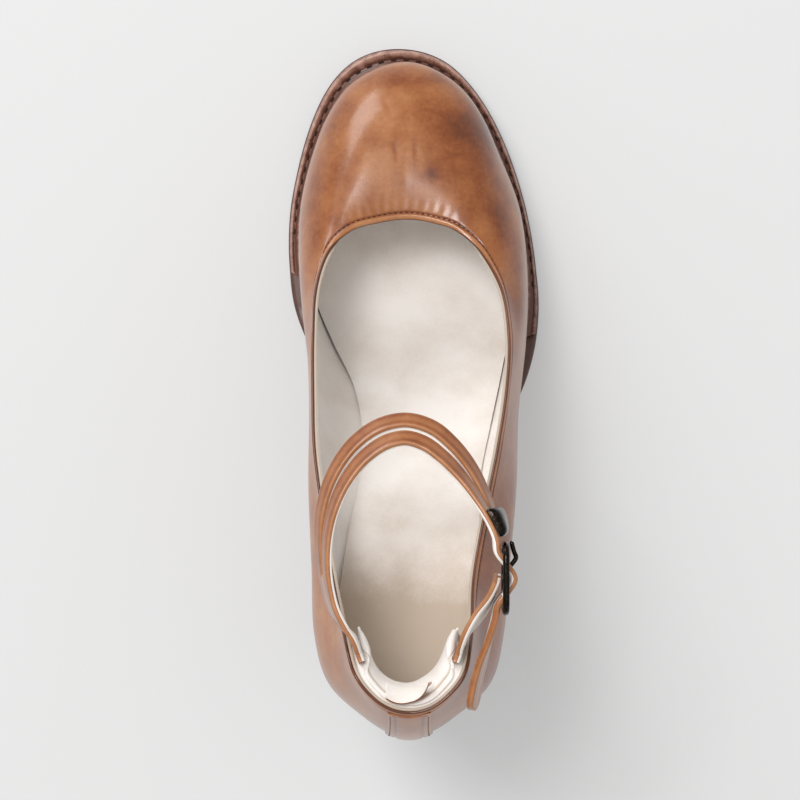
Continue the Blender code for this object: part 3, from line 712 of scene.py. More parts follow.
@dataclass(frozen=True)
class Lining:
    """Cream lining leather: matt, faintly creased, with fine pores, darkened by the tone value as
    painted shade.
    """

    name: str
    pore_mm: float = 0.7

    def make(self) -> bpy.types.Material:
        """Soft clouds and fine pores on a pale even skin."""
        shader = Shader(self.name)
        cloud = shader.noise(18.0, 3.0, 0.5)
        fine = shader.noise(0.9, 3.0, 0.6)
        pores = shader.maths("MULTIPLY_ADD", fine, 0.14, 0.08)
        level = shader.maths("MULTIPLY_ADD", cloud, 0.5, pores)
        # The tone value pulls the cream towards the darkest stop: painted shade.
        shader.colour(
            shader.burnished(level, 1.0),
            (0.0, Tint.CREAM_MOTTLE_AND_PAINTED_SHADE),
            (0.25, Tint.CREAM_SHADE),
            (0.45, Tint.CREAM),
        )
        shader.roughness(fine, 0.55, 0.75)
        shader.relief((shader.cells(self.pore_mm), 0.03), (shader.noise(6.0, 3.0), 0.12))
        shader.set(sheen_weight=0.12, sheen_roughness=0.5)
        return shader.material


@dataclass(frozen=True)
class Waxed:
    """Dark waxed edge leather: long fibres pressed flat and polished by an iron."""

    name: str
    dark: Tint
    light: Tint
    gloss: float = 0.36

    def make(self) -> bpy.types.Material:
        """Streaks along the edge and small dents that catch the light."""
        shader = Shader(self.name)
        streak = shader.noise(3.2, 4.0, 0.6)
        fine = shader.noise(0.4, 3.0, 0.6)
        level = shader.maths("MULTIPLY_ADD", streak, 0.7, shader.maths("MULTIPLY", fine, 0.3))
        # The tone value darkens the streaks: painted shade in the welt's groove.
        shader.colour(shader.burnished(level, 0.5), (0.25, self.dark), (0.75, self.light))
        shader.roughness(fine, self.gloss, self.gloss + 0.2)
        shader.relief((fine, 0.03), (streak, 0.10))
        shader.set(coat_weight=0.2, coat_roughness=0.25)
        return shader.material


@dataclass(frozen=True)
class Stacked:
    """Stacked heel: thin lifts of dark leather pressed together, with a line at each joint."""

    name: str
    lift_mm: float = 4.2
    groove_from: float = 0.468

    def make(self) -> bpy.types.Material:
        """Level layers of slightly different brown with a dark groove between each two."""
        shader = Shader(self.name)
        split = shader.add("ShaderNodeSeparateXYZ")
        shader.join(shader.millimetres, split.inputs[0])
        wobble = shader.maths("MULTIPLY", shader.noise(9.0, 2.0), 0.6)
        height = shader.maths("ADD", split.outputs["Z"], wobble)
        layer = shader.maths("FRACT", shader.maths("DIVIDE", height, self.lift_mm))
        away = shader.maths("ABSOLUTE", shader.maths("SUBTRACT", layer, 0.5))
        groove = shader.maths("GREATER_THAN", away, self.groove_from)
        fibre = shader.noise(0.8, 4.0, 0.7)
        level = shader.maths("MULTIPLY_ADD", fibre, 0.5, 0.4)
        level = shader.maths("SUBTRACT", level, shader.maths("MULTIPLY", groove, 0.6))
        shader.colour(level, (0.1, Tint.STACK_LINE), (0.7, Tint.STACK))
        shader.roughness(fibre, 0.32, 0.5)
        shader.relief((fibre, 0.04), (shader.maths("SUBTRACT", 1.0, groove), 0.10))
        shader.set(coat_weight=0.15, coat_roughness=0.3)
        return shader.material


@dataclass(frozen=True)
class Metal:
    """Dark plated metal: nearly black, polished, with fine rubs where the plating has thinned."""

    name: str

    def make(self) -> bpy.types.Material:
        """Tight highlights broken by hairline rubs."""
        shader = Shader(self.name)
        rub = shader.noise(0.9, 5.0, 0.7)
        shader.colour(rub, (0.50, Tint.METAL), (0.85, Tint.METAL_WORN))
        shader.roughness(rub, 0.12, 0.26)
        shader.relief((rub, 0.02))
        shader.set(metallic=1.0)
        return shader.material


@dataclass(frozen=True)
class Plain:
    """Even dull surface with a fine tooth: rubber, thread or the studio's floor."""

    name: str
    tint: Tint
    rough: float
    tooth_mm: float
    depth_mm: float
    painted_glow: float = 0.0

    def make(self) -> bpy.types.Material:
        """One colour with a fine bump; where it glows, the emission is painted light from a
        surface that is no lamp.
        """
        shader = Shader(self.name)
        shader.surface.inputs["Base Color"].default_value = self.tint.linear()
        tooth = shader.noise(self.tooth_mm, 3.0, 0.6)
        shader.roughness(tooth, self.rough - 0.08, self.rough + 0.08)
        shader.relief((tooth, self.depth_mm))
        shader.set(emission_strength=self.painted_glow)
        return shader.material


@dataclass
class Finishes:
    """Every material of the shoe, made once."""

    cognac: bpy.types.Material
    strap: bpy.types.Material
    lining: bpy.types.Material
    sock: bpy.types.Material
    welt: bpy.types.Material
    sole: bpy.types.Material
    tread: bpy.types.Material
    stack: bpy.types.Material
    rubber: bpy.types.Material
    metal: bpy.types.Material
    thread: bpy.types.Material
    hole: bpy.types.Material

    @classmethod
    def make(cls) -> Finishes:
        """Make the materials in a fixed order."""
        return cls(
            cognac=Burnished("burnished cognac").make(),
            strap=Burnished("burnished strap", blotch_mm=9.0, gloss=0.34, depth=0.45).make(),
            lining=Lining("cream lining").make(),
            sock=Lining("cream sock", pore_mm=0.9).make(),
            welt=Waxed("waxed welt", Tint.WELT_DARK, Tint.WELT_LIGHT, 0.30).make(),
            sole=Waxed("waxed sole edge", Tint.SOLE, Tint.WELT_DARK).make(),
            tread=Waxed("leather tread", Tint.WELT_LIGHT, Tint.TREAD, 0.5).make(),
            stack=Stacked("stacked heel").make(),
            rubber=Plain("top piece rubber", Tint.RUBBER, 0.6, 0.8, 0.05).make(),
            metal=Metal("dark plated metal").make(),
            thread=Plain("waxed thread", Tint.THREAD, 0.5, 0.15, 0.06).make(),
            # The stitch hole colour is painted shade: near-black stitches stand for the shadowed
            # pits.
            hole=Plain("stitch hole", Tint.HOLE_PAINTED_SHADE, 0.95, 0.3, 0.06).make(),
        )


@dataclass(frozen=True)
class Crease:
    """A soft trough in the upper with a low ridge on both sides, laid in plan.

    Places are shares: across of the ball width, along of the sole's length.
    """

    start: tuple[float, float]
    end: tuple[float, float]
    depth: float
    width: float

    def height(self, points: np.ndarray) -> np.ndarray:
        """Height that the crease adds at each point, outward."""
        start, end = LAST.place(*self.start), LAST.place(*self.end)
        run = end - start
        length = np.linalg.norm(run)
        from_start = points[..., :2] - start
        share = (from_start @ run) / length**2
        off = np.abs(from_start[..., 0] * run[1] - from_start[..., 1] * run[0]) / length
        fade = blend(share, -0.15, 0.25) * (1 - blend(share, 0.75, 1.15))
        trough = np.exp(-((off / self.width) ** 2))
        ridge = np.exp(-(((off - 2 * self.width) / self.width) ** 2))
        return self.depth * fade * (0.35 * ridge - trough)


@dataclass(frozen=True)
class Patch:
    """A darker patch of the upper, laid in plan: burnished tone, and on the outer side painted
    shade.
    """

    middle: tuple[float, float]
    radius: tuple[float, float]
    strength: float

    def value(self, points: np.ndarray) -> np.ndarray:
        """Darkness that the patch adds at each point."""
        off = (points[..., :2] - LAST.place(*self.middle)) / np.array(self.radius)
        return self.strength * np.exp(-np.sum(off**2, axis=-1))


class Stitching:
    """Rows of short thread stitches, each a sunk capsule along its seam."""

    ROWS = 5
    SIDES = 8

    def __init__(self, name: str) -> None:
        self.piece = Piece(name)
        turn = round_loop(self.SIDES)
        tilt = np.linspace(0, math.pi, self.ROWS)
        self.template = np.stack([
            np.repeat(-np.cos(tilt)[:, None], self.SIDES, 1),
            np.sin(tilt)[:, None] * np.cos(turn),
            np.sin(tilt)[:, None] * np.sin(turn),
        ], -1)

    def run(
        self,
        path: np.ndarray,
        outward: np.ndarray,
        pitch: float,
        size: tuple[float, float, float],
        sink: float = 0.0,
    ) -> None:
        """Lay stitches along a path.

        Args:
            path: Close points of the seam.
            outward: Direction out of the leather at each point.
            pitch: Distance from stitch to stitch.
            size: Length, width and height of one stitch.
            sink: How far its middle lies under the path.
        """
        reach = reach_along(path)
        at = np.arange(pitch / 2, reach[-1], pitch)

        def spaced(values: np.ndarray) -> np.ndarray:
            return np.stack([np.interp(at, reach, values[:, axis]) for axis in range(3)], -1)

        middle = spaced(path)
        normal = unit(spaced(outward))
        forward = unit(spaced(np.gradient(path, axis=0)))
        side = unit(np.cross(normal, forward))
        half = np.array(size) / 2
        for place in range(len(at)):
            shape = (
                self.template[..., :1] * half[0] * forward[place]
                + self.template[..., 1:2] * half[1] * side[place]
                + self.template[..., 2:] * half[2] * normal[place]
                + middle[place] - normal[place] * sink
            )
            self.piece.add_grid(shape, loop_columns=True)

    def finish(self, material: bpy.types.Material, slot: str) -> bpy.types.Object:
        """Make the stitches one object."""
        return self.piece.finish([material], slot, weld=1e-6)


class Side(IntEnum):
    """Material slots of a lined piece."""

    LEATHER = 0
    LINING = 1


@dataclass
class Upper:
    """Hollow upper with a rolled top edge, a grooved seam, puckers and soft creases."""

    seam_inset: float = 0.0021
    groove_depth: float = 0.00028
    groove_width: float = 0.00042
    seam_painted_shade: float = 0.45
    seam_blur: float = 0.0006
    ridge_height: float = 0.00018
    ridge_inset: float = 0.0010
    ridge_width: float = 0.0007
    ridge_light_and_painted_highlight: float = -0.40
    ridge_blur: float = 0.0008
    rim_tone: float = 0.9
    rim_leather: int = 4
    pucker_pitch: float = 0.0031
    pucker_height: float = 0.00006
    pucker_inset: float = 0.0042
    pucker_width: float = 0.0020
    throat_medial: tuple[float, float] = (0.38, 0.47)
    throat_lateral: tuple[float, float] = (0.53, 0.62)
    stitch_from: float = 0.06
    stitch_to: float = 0.94
    stitch_pitch: float = 1.9 * MM
    stitch_size: tuple[float, float, float] = (1.05 * MM, 0.70 * MM, 0.30 * MM)
    columns: int = 420
    lower_rows: int = 46
    edge_distances: tuple[float, ...] = (
        0.0, 0.25, 0.5, 0.8, 1.1, 1.4, 1.65, 1.85, 2.1, 2.35, 2.55, 2.8, 3.2, 3.8, 4.6, 5.6, 6.8,
    )
    rim: tuple[tuple[float, float], ...] = (
        (-0.12, 0.24), (-0.35, 0.40), (-0.65, 0.42), (-0.92, 0.26), (-1.06, -0.05),
        (-1.20, 0.10), (-1.45, 0.20), (-1.75, 0.14), (-1.94, -0.08),
    )
    creases: tuple[Crease, ...] = (
        Crease((-0.068, 0.852), (-0.041, 0.826), 0.00009, 0.0009),
        Crease((0.006, 0.852), (0.040, 0.825), 0.00009, 0.0009),
        Crease((-0.088, 0.906), (-0.060, 0.885), 0.00012, 0.0008),
        Crease((0.110, 0.880), (0.150, 0.850), 0.00010, 0.0012),
        Crease((0.385, 0.640), (0.430, 0.560), 0.00035, 0.0025),
        Crease((-0.400, 0.640), (-0.385, 0.560), 0.00030, 0.0025),
    )
    # Darker patches: burnished tone of the leather; those on the outer side (across 0.29 to 0.43)
    # also paint the shade of that side, which faces away from the lamps.
    patches: tuple[Patch, ...] = (
        Patch((0.225, 0.880), (0.0120, 0.0085), 0.55),
        Patch((0.290, 0.810), (0.0080, 0.0170), 0.40),
        Patch((0.090, 0.800), (0.0022, 0.0022), 0.40),
        Patch((0.010, 0.945), (0.0200, 0.0035), 0.30),
        Patch((-0.300, 0.870), (0.0030, 0.0150), 0.25),
        Patch((-0.365, 0.760), (0.0030, 0.0250), 0.25),
        Patch((-0.270, 0.725), (0.0035, 0.0050), 0.35),
        Patch((0.350, 0.735), (0.0040, 0.0100), 0.40),
        Patch((-0.055, 0.840), (0.0008, 0.0038), 0.45),
        Patch((0.023, 0.838), (0.0008, 0.0038), 0.45),
        Patch((0.430, 0.640), (0.0050, 0.0150), 0.30),
        Patch((0.000, 0.010), (0.0200, 0.0060), 0.25),
        Patch((0.110, 0.800), (0.0120, 0.0120), 0.15),
        Patch((0.340, 0.310), (0.0120, 0.0300), 0.35),
        Patch((0.290, 0.130), (0.0120, 0.0300), 0.30),
        Patch((0.375, 0.560), (0.0080, 0.0300), 0.20),
    )

    def build(self, finishes: Finishes) -> bpy.types.Object:
        """Make the shell as one closed surface of sections that run up, over the rim and down."""
        around = np.arange(self.columns) / self.columns
        high = LAST.up_below(around, np.array(self.edge_distances) * MM)
        low_share = np.linspace(0, 1, self.lower_rows, endpoint=False)
        low = high[:, -1:] * low_share[None, :]
        up = np.concatenate([low, high[:, ::-1]], 1)
        turn = np.repeat(around[:, None], up.shape[1], 1)
        flat = LAST.skin(turn, up)
        normal = LAST.outward(turn, up)
        edge = reach_along(flat[:, ::-1])[:, ::-1]
        relief = self.edge_relief(turn, edge) + self.creased(flat, normal)
        outer = flat + normal * relief[..., None]
        inner = flat[:, ::-1] - normal[:, ::-1] * LAST.wall
        rise = unit(flat[:, -1] - flat[:, -2])
        rim = np.stack([
            flat[:, -1] + normal[:, -1] * out * MM + rise * lift * MM for out, lift in self.rim
        ], 1)
        section = np.concatenate([outer, rim, inner], 1)
        tone = np.concatenate([
            self.burnish_and_painted_light(flat, edge),
            np.full(rim.shape[:2], self.rim_tone),
            np.zeros(inner.shape[:2]),
        ], 1)
        slots = np.full(section.shape[1], Side.LINING)
        slots[:outer.shape[1] + self.rim_leather] = Side.LEATHER
        slots[-1] = Side.LEATHER
        piece = Piece("upper_leather_shell")
        piece.add_grid(section, slots[None, :], tone, loop_rows=True, loop_columns=True)
        made = piece.finish([finishes.cognac, finishes.lining], "upper_leather")
        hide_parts("upper")
        return made

    def edge_relief(self, turn: np.ndarray, edge: np.ndarray) -> np.ndarray:
        """Rolled ridge at the topline, the seam's groove under it and the puckers below that."""
        ridge = self.ridge_height * bump(edge, self.ridge_inset, self.ridge_width)
        groove = -self.groove_depth * bump(edge, self.seam_inset, self.groove_width)
        reach = reach_along(LAST.topline(turn[:, 0]))[:, None]
        wave = np.sin(2 * math.pi * reach / self.pucker_pitch) + 0.6 * np.sin(
            2 * math.pi * reach / (self.pucker_pitch * 2.37) + 1.0)
        throat = blend(turn, *self.throat_medial) * (1 - blend(turn, *self.throat_lateral))
        band = bump(edge, self.pucker_inset, self.pucker_width)
        return ridge + groove + self.pucker_height * wave * throat * band

    def creased(self, flat: np.ndarray, normal: np.ndarray) -> np.ndarray:
        """Height of every crease together, on the faces that look up or out."""
        height = sum(crease.height(flat) for crease in self.creases)
        return height * blend(normal[..., 2], -0.1, 0.3)

    def burnish_and_painted_light(self, flat: np.ndarray, edge: np.ndarray) -> np.ndarray:
        """Dark patches (burnish, and painted shade on the outer side), painted shade in the seam's
        groove and a lighter roll at the top edge, partly lighter leather and partly a painted
        highlight.
        """
        patches = sum(patch.value(flat) for patch in self.patches)
        # Painted shade in the seam's groove; painted highlight, with lighter leather, on the
        # rolled edge.
        seam = self.seam_painted_shade * bump(edge, self.seam_inset, self.seam_blur)
        ridge = self.ridge_light_and_painted_highlight * bump(edge, self.ridge_blur, self.ridge_blur)
        return np.clip(patches + seam + ridge, -0.5, 1)

    def stitch(self, finishes: Finishes) -> bpy.types.Object:
        """Stitches all along the foot opening, sunk in the seam's groove."""
        around = np.linspace(self.stitch_from, self.stitch_to, 1600)
        up = LAST.up_below(around, np.array([self.seam_inset]))[:, 0]
        path = LAST.skin_at(around, up, -self.groove_depth)
        stitching = Stitching("topline_stitches")
        stitching.run(
            path, LAST.outward(around, up), self.stitch_pitch, self.stitch_size, 0.02 * MM)
        # Near-black stitch colour: painted shade of the stitch pits.
        return stitching.finish(finishes.hole, "upper_leather")


@dataclass
class Backstay:
    """Strip up the counter's back seam, with two pressed grooves and stitches at each edge."""

    reach: float = 0.030
    thick: float = 0.0005
    low: float = 0.03
    high: float = 0.97
    edge_share: float = 0.55
    crown_share: float = 0.45
    groove_place: float = 0.60
    groove_depth: float = 0.50
    groove_width: float = 0.07
    groove_blur: float = 0.08
    groove_painted_shade: float = 0.5
    roll_from: float = 0.9
    roll_width: float = 0.1
    stitch_place: float = 0.86
    stitch_inset: float = 0.02
    stitch_pitch: float = 2.2 * MM
    stitch_size: tuple[float, float, float] = (1.4 * MM, 0.5 * MM, 0.3 * MM)
    columns: int = 57
    rows: int = 60

    def height(self, share: np.ndarray) -> np.ndarray:
        """Height over the counter at a share of the half width."""
        off = np.abs(share)
        groove = -self.groove_depth * bump(off, self.groove_place, self.groove_width)
        past = np.clip((off - self.roll_from) / self.roll_width, 0, 1)
        roll = np.sqrt(np.clip(1 - past**2, 0.02, 1))
        return LAST.gap + self.thick * (self.edge_share + self.crown_share * roll + groove)

    def build(self, finishes: Finishes) -> bpy.types.Object:
        """Make the strip on the upper's own function."""
        share = np.linspace(-1, 1, self.columns)
        up = np.linspace(self.low, self.high, self.rows)
        turn, rise = np.meshgrid(share * self.reach, up, indexing="ij")
        outer = LAST.skin_at(turn, rise, self.height(share)[:, None])
        inner = LAST.skin_at(turn, rise, LAST.gap)[::-1]
        loops = np.concatenate([outer, inner], 0).transpose(1, 0, 2)
        # Painted shade in the two pressed grooves.
        deep = self.groove_painted_shade * bump(np.abs(share), self.groove_place, self.groove_blur)
        dark = np.tile(np.concatenate([deep, np.zeros(self.columns)]), (self.rows, 1))
        piece = Piece("backstay_leather")
        piece.add_grid(loops, tone=dark, loop_columns=True)
        piece.add_caps(loops)
        made = piece.finish([finishes.cognac], "upper_leather")
        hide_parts("backstay")
        return made

    def stitch(self, finishes: Finishes) -> bpy.types.Object:
        """A row of stitches inside each long edge."""
        stitching = Stitching("backstay_stitches")
        up = np.linspace(self.low + self.stitch_inset, self.high - self.stitch_inset, 400)
        out = float(self.height(np.array(self.stitch_place)))
        for side in (-1, 1):
            turn = np.full_like(up, side * self.stitch_place * self.reach)
            stitching.run(
                LAST.skin_at(turn, up, out), LAST.outward(turn, up),
                self.stitch_pitch, self.stitch_size, 0.03 * MM)
        return stitching.finish(finishes.thread, "upper_leather")


def disc(
    piece: Piece,
    rim: Sequence[tuple[float, Callable[[np.ndarray], np.ndarray], float, int]],
    plan: np.ndarray,
) -> None:
    """Slab through loops that are shares of the way from its edge to its spine.

    Args:
        piece: Piece that takes the faces.
        rim: For each loop: inset share, height function, height offset and material slot.
        plan: Closed plan outline, even in count, from the back and round.
    """
    count = len(plan)
    mirror = plan[-np.arange(count)]
    spine = (plan + mirror) / 2
    loops = []
    for share, height, lift, _ in rim:
        at = plan + (spine - plan) * share
        loops.append(np.column_stack([at, height(at[:, 1]) + lift]))
    slots = np.array([row[3] for row in rim[:-1]])
    piece.add_grid(np.stack(loops), slots[:, None], loop_columns=True)


@dataclass
class Sole:
    """Outsole with a waxed edge and a leather tread."""

    round_off: float = 0.0009
    count: int = 420

    def build(self, finishes: Finishes) -> bpy.types.Object:
        """Make the slab with a softly rounded edge."""
        plan = LAST.sole_ring(np.arange(self.count) / self.count)
        top, low, soft = LAST.outsole_top, LAST.arch_height, self.round_off
        piece = Piece("outsole_leather")
        disc(piece, (
            (1.0, top, 0.0, 0), (0.6, top, 0.0, 0), (0.2, top, 0.0, 0), (0.035, top, 0.0, 0),
            (0.012, top, -soft * 0.3, 0), (0.0, top, -soft, 0), (0.0, low, soft, 0),
            (0.012, low, soft * 0.3, 0), (0.035, low, 0.0, 0), (0.08, low, 0.0, 1),
            (0.3, low, 0.0, 1), (0.6, low, 0.0, 1), (1.0, low, 0.0, 1),
        ), plan)
        made = piece.finish([finishes.sole, finishes.tread], "sole_leather")
        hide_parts("outsole")
        return made


@dataclass
class Insole:
    """Padded inner sole: flat in the middle, rolled down at its edge, with painted shade darkening
    it towards the heel.
    """

    pad: float = 0.0011
    pad_reach: float = 0.25
    edge_lift: float = 0.0006
    reach: float = 0.00015
    shade: float = 0.55
    shade_reach: tuple[float, float] = (-0.010, 0.060)
    count: int = 420

    def build(self, finishes: Finishes) -> bpy.types.Object:
        """Make the slab inside the upper's wall."""
        around = np.arange(self.count) / self.count
        foot = LAST.skin_at(around, 0.0, -LAST.wall - LAST.gap)[:, :2]
        step = np.roll(foot, -1, 0) - np.roll(foot, 1, 0)
        normal = unit(np.stack([step[:, 1], -step[:, 0]], -1))
        plan = foot - normal * self.reach
        thick = LAST.insole_thick

        def seat(along: np.ndarray) -> np.ndarray:
            return LAST.outsole_top(along) + LAST.seat_gap

        rows = [(share, seat, thick, 0) for share in (1.0, 0.8, 0.6, 0.4)]
        for share in (self.pad_reach, 0.15, 0.09, 0.05, 0.025, 0.01, 0.0):
            drop = self.pad * (1 - share / self.pad_reach) ** 3
            rows.append((share, seat, thick - drop, 0))
        rows.append((0.0, seat, self.edge_lift, 0))
        rows += [(share, seat, 0.0, 0) for share in (0.02, 0.5, 1.0)]
        piece = Piece("insole_sock")
        disc(piece, rows, plan)
        points = np.concatenate(piece.points)
        # Painted shade: the sock's colour darkens towards the heel, deep inside the walls.
        piece.tones = [self.shade * (1 - blend(points[:, 1], *self.shade_reach))]
        made = piece.finish([finishes.sock], "lining_leather")
        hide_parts("insole")
        return made


@dataclass
class Welt:
    """Stitched strip round the forefoot, with a grooved face and a tuck under the upper."""

    tuck: float = 0.0015
    step: float = 0.0006
    groove_depth: float = 0.36
    groove_width: float = 0.15
    groove_painted_shade: float = 0.85
    lip_from: float = 0.84
    lip_width: float = 0.16
    lip_drop: float = 0.55
    lip_tone: float = 0.3
    lip_blur: float = 0.05
    stitch_inset: float = 0.02
    stitch_pitch: float = 0.0045
    stitch_size: tuple[float, float, float] = (2.3 * MM, 1.7 * MM, 0.4 * MM)
    columns: int = 460
    groove: Table = table(
        "around place",
        (0.30, 0.72),
        (0.40, 0.66),
        (0.46, 0.60),
        (0.50, 0.54),
        (0.54, 0.62),
        (0.60, 0.72),
        (0.73, 0.78),
    )

    def frame(self, around: np.ndarray) -> tuple[np.ndarray, np.ndarray]:
        """Inner and outer plan edges of the strip."""
        edge = LAST.sole_ring(around)
        inner = LAST.feather_edge(around)[..., :2]
        outward = unit(edge - inner)
        return inner - outward * self.tuck, edge - outward * self.step

    def crown(self, share: np.ndarray, place: np.ndarray) -> np.ndarray:
        """Height across the strip as a share of its thickness, with the groove at a place."""
        groove = self.groove_depth * bump(share - place, 0.0, self.groove_width)
        roll = self.lip_drop * np.clip((share - self.lip_from) / self.lip_width, 0, 1) ** 2
        return 1.0 - groove - roll

    def build(self, finishes: Finishes) -> bpy.types.Object:
        """Make the strip, thin at its two ends."""
        around = np.linspace(LAST.welt_medial_end, LAST.welt_lateral_end, self.columns)
        inner, edge = self.frame(around)
        share = np.concatenate([np.linspace(0, 0.3, 4)[:-1], np.linspace(0.3, 1.0, 30)])
        plan = inner[:, None] + (edge - inner)[:, None] * share[None, :, None]
        low = LAST.outsole_top(plan[..., 1]) + LAST.seat_gap
        thick = LAST.welt_height(around)[:, None]
        place = cubic(self.groove["around"], self.groove["place"], around)[:, None]
        high = low + thick * self.crown(share[None, :], place)
        top = np.concatenate([plan, high[..., None]], -1)
        bottom = np.concatenate([plan, low[..., None]], -1)[:, ::-1]
        loops = np.concatenate([top, bottom], 1)
        # Painted shade darkens the stitch groove.
        deep = self.groove_painted_shade * bump(share[None, :] - place, -0.05, self.groove_width)
        deep = deep + self.lip_tone * bump(share, 1.0, self.lip_blur)
        dark = np.concatenate([deep, np.zeros_like(deep)], 1)
        piece = Piece("welt_leather")
        piece.add_grid(loops, tone=dark, loop_columns=True)
        piece.add_caps(loops)
        made = piece.finish([finishes.welt], "welt_leather")
        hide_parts("welt")
        return made

    def stitch(self, finishes: Finishes) -> bpy.types.Object:
        """Long stitches in the groove, near-black: painted shade for the stitch pits."""
        around = np.linspace(
            LAST.welt_medial_end + self.stitch_inset,
            LAST.welt_lateral_end - self.stitch_inset,
            1400,
        )
        inner, edge = self.frame(around)
        place = cubic(self.groove["around"], self.groove["place"], around)
        plan = inner + (edge - inner) * place[:, None]
        crown = self.crown(place, place)
        height = LAST.outsole_top(plan[:, 1]) + LAST.seat_gap + LAST.welt_height(around) * crown
        path = np.column_stack([plan, height])
        stitching = Stitching("welt_stitches")
        stitching.run(path, np.tile(UP, (len(path), 1)), self.stitch_pitch, self.stitch_size)
        return stitching.finish(finishes.hole, "welt_leather")


@dataclass
class Heel:
    """Block heel of lifts, round behind and square at the breast, on a rubber top piece."""

    foot_width: float = 0.0470
    foot_length: float = 0.0450
    seat_inset: float = 0.0008
    breast_station: float = 0.245
    top_piece: float = 0.0060
    chamfer: float = 0.0008
    soft: float = 0.0004
    behind_power: tuple[float, float] = (0.85, 0.80)
    breast_power: tuple[float, float] = (0.38, 0.30)
    seat_around: float = 0.92
    taper: float = 1.4
    count: int = 220

    def outline(self, half: float, back: float, front: float) -> np.ndarray:
        """D-shaped plan with soft breast corners."""
        angle = round_loop(self.count)
        sine, cosine = np.sin(angle), np.cos(angle)
        wide, long = (
            np.where(cosine > 0, *powers) for powers in zip(self.behind_power, self.breast_power)
        )
        x = half * squared_off(sine, wide)
        y = (back + front) / 2 - (front - back) / 2 * squared_off(cosine, long)
        return np.stack([x, y], -1)

    def level(self, share: float) -> np.ndarray:
        """Plan outline at a share of the way from the tread to the seat."""
        grow = share**self.taper
        breast = LAST.sole_back + LAST.sole_length * self.breast_station
        edge = float(LAST.half_width(LAST.sole_outline, np.array(self.seat_around)))
        wide, long = self.foot_width / 2, self.foot_length / 2
        half = wide + (edge - self.seat_inset - wide) * grow
        back = -long + (LAST.sole_back + self.seat_inset + long) * grow
        front = long + (breast - long) * grow
        return self.outline(half, back, front)

    def build(self, finishes: Finishes) -> tuple[bpy.types.Object, bpy.types.Object]:
        """Make the block and its top piece."""
        low = self.top_piece + LAST.gap
        loops = []
        for share in np.linspace(0, 1, 40):
            plan = self.level(share)
            height = low + (LAST.arch_height(plan[:, 1]) - LAST.seat_gap - low) * share
            loops.append(np.column_stack([plan, height]))
        first, last = loops[0].copy(), loops[-1].copy()
        first[:, 0] = 0
        last[:, 0] = 0
        block = Piece("heel_block")
        block.add_grid(np.stack([first, *loops, last]), loop_columns=True)
        heel = block.finish([finishes.stack], "heel_stack")
        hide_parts("heel")
        plan = self.level(0.0)
        small = 1 - 2 * self.chamfer / self.foot_width
        levels = (
            (0.0, 0.0), (small, 0.0), (1.0, self.chamfer), (1.0, self.top_piece * 0.5),
            (1.0, self.top_piece - self.soft), (small, self.top_piece), (0.0, self.top_piece),
        )
        rings = []
        for size, height in levels:
            scale = np.array([size, size or small])
            rings.append(np.column_stack([plan * scale, np.full(self.count, height)]))
        tread = Piece("heel_top_piece_rubber")
        tread.add_grid(np.stack(rings), loop_columns=True)
        rubber = tread.finish([finishes.rubber], "top_piece_rubber")
        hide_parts("heel_top_piece")
        return heel, rubber


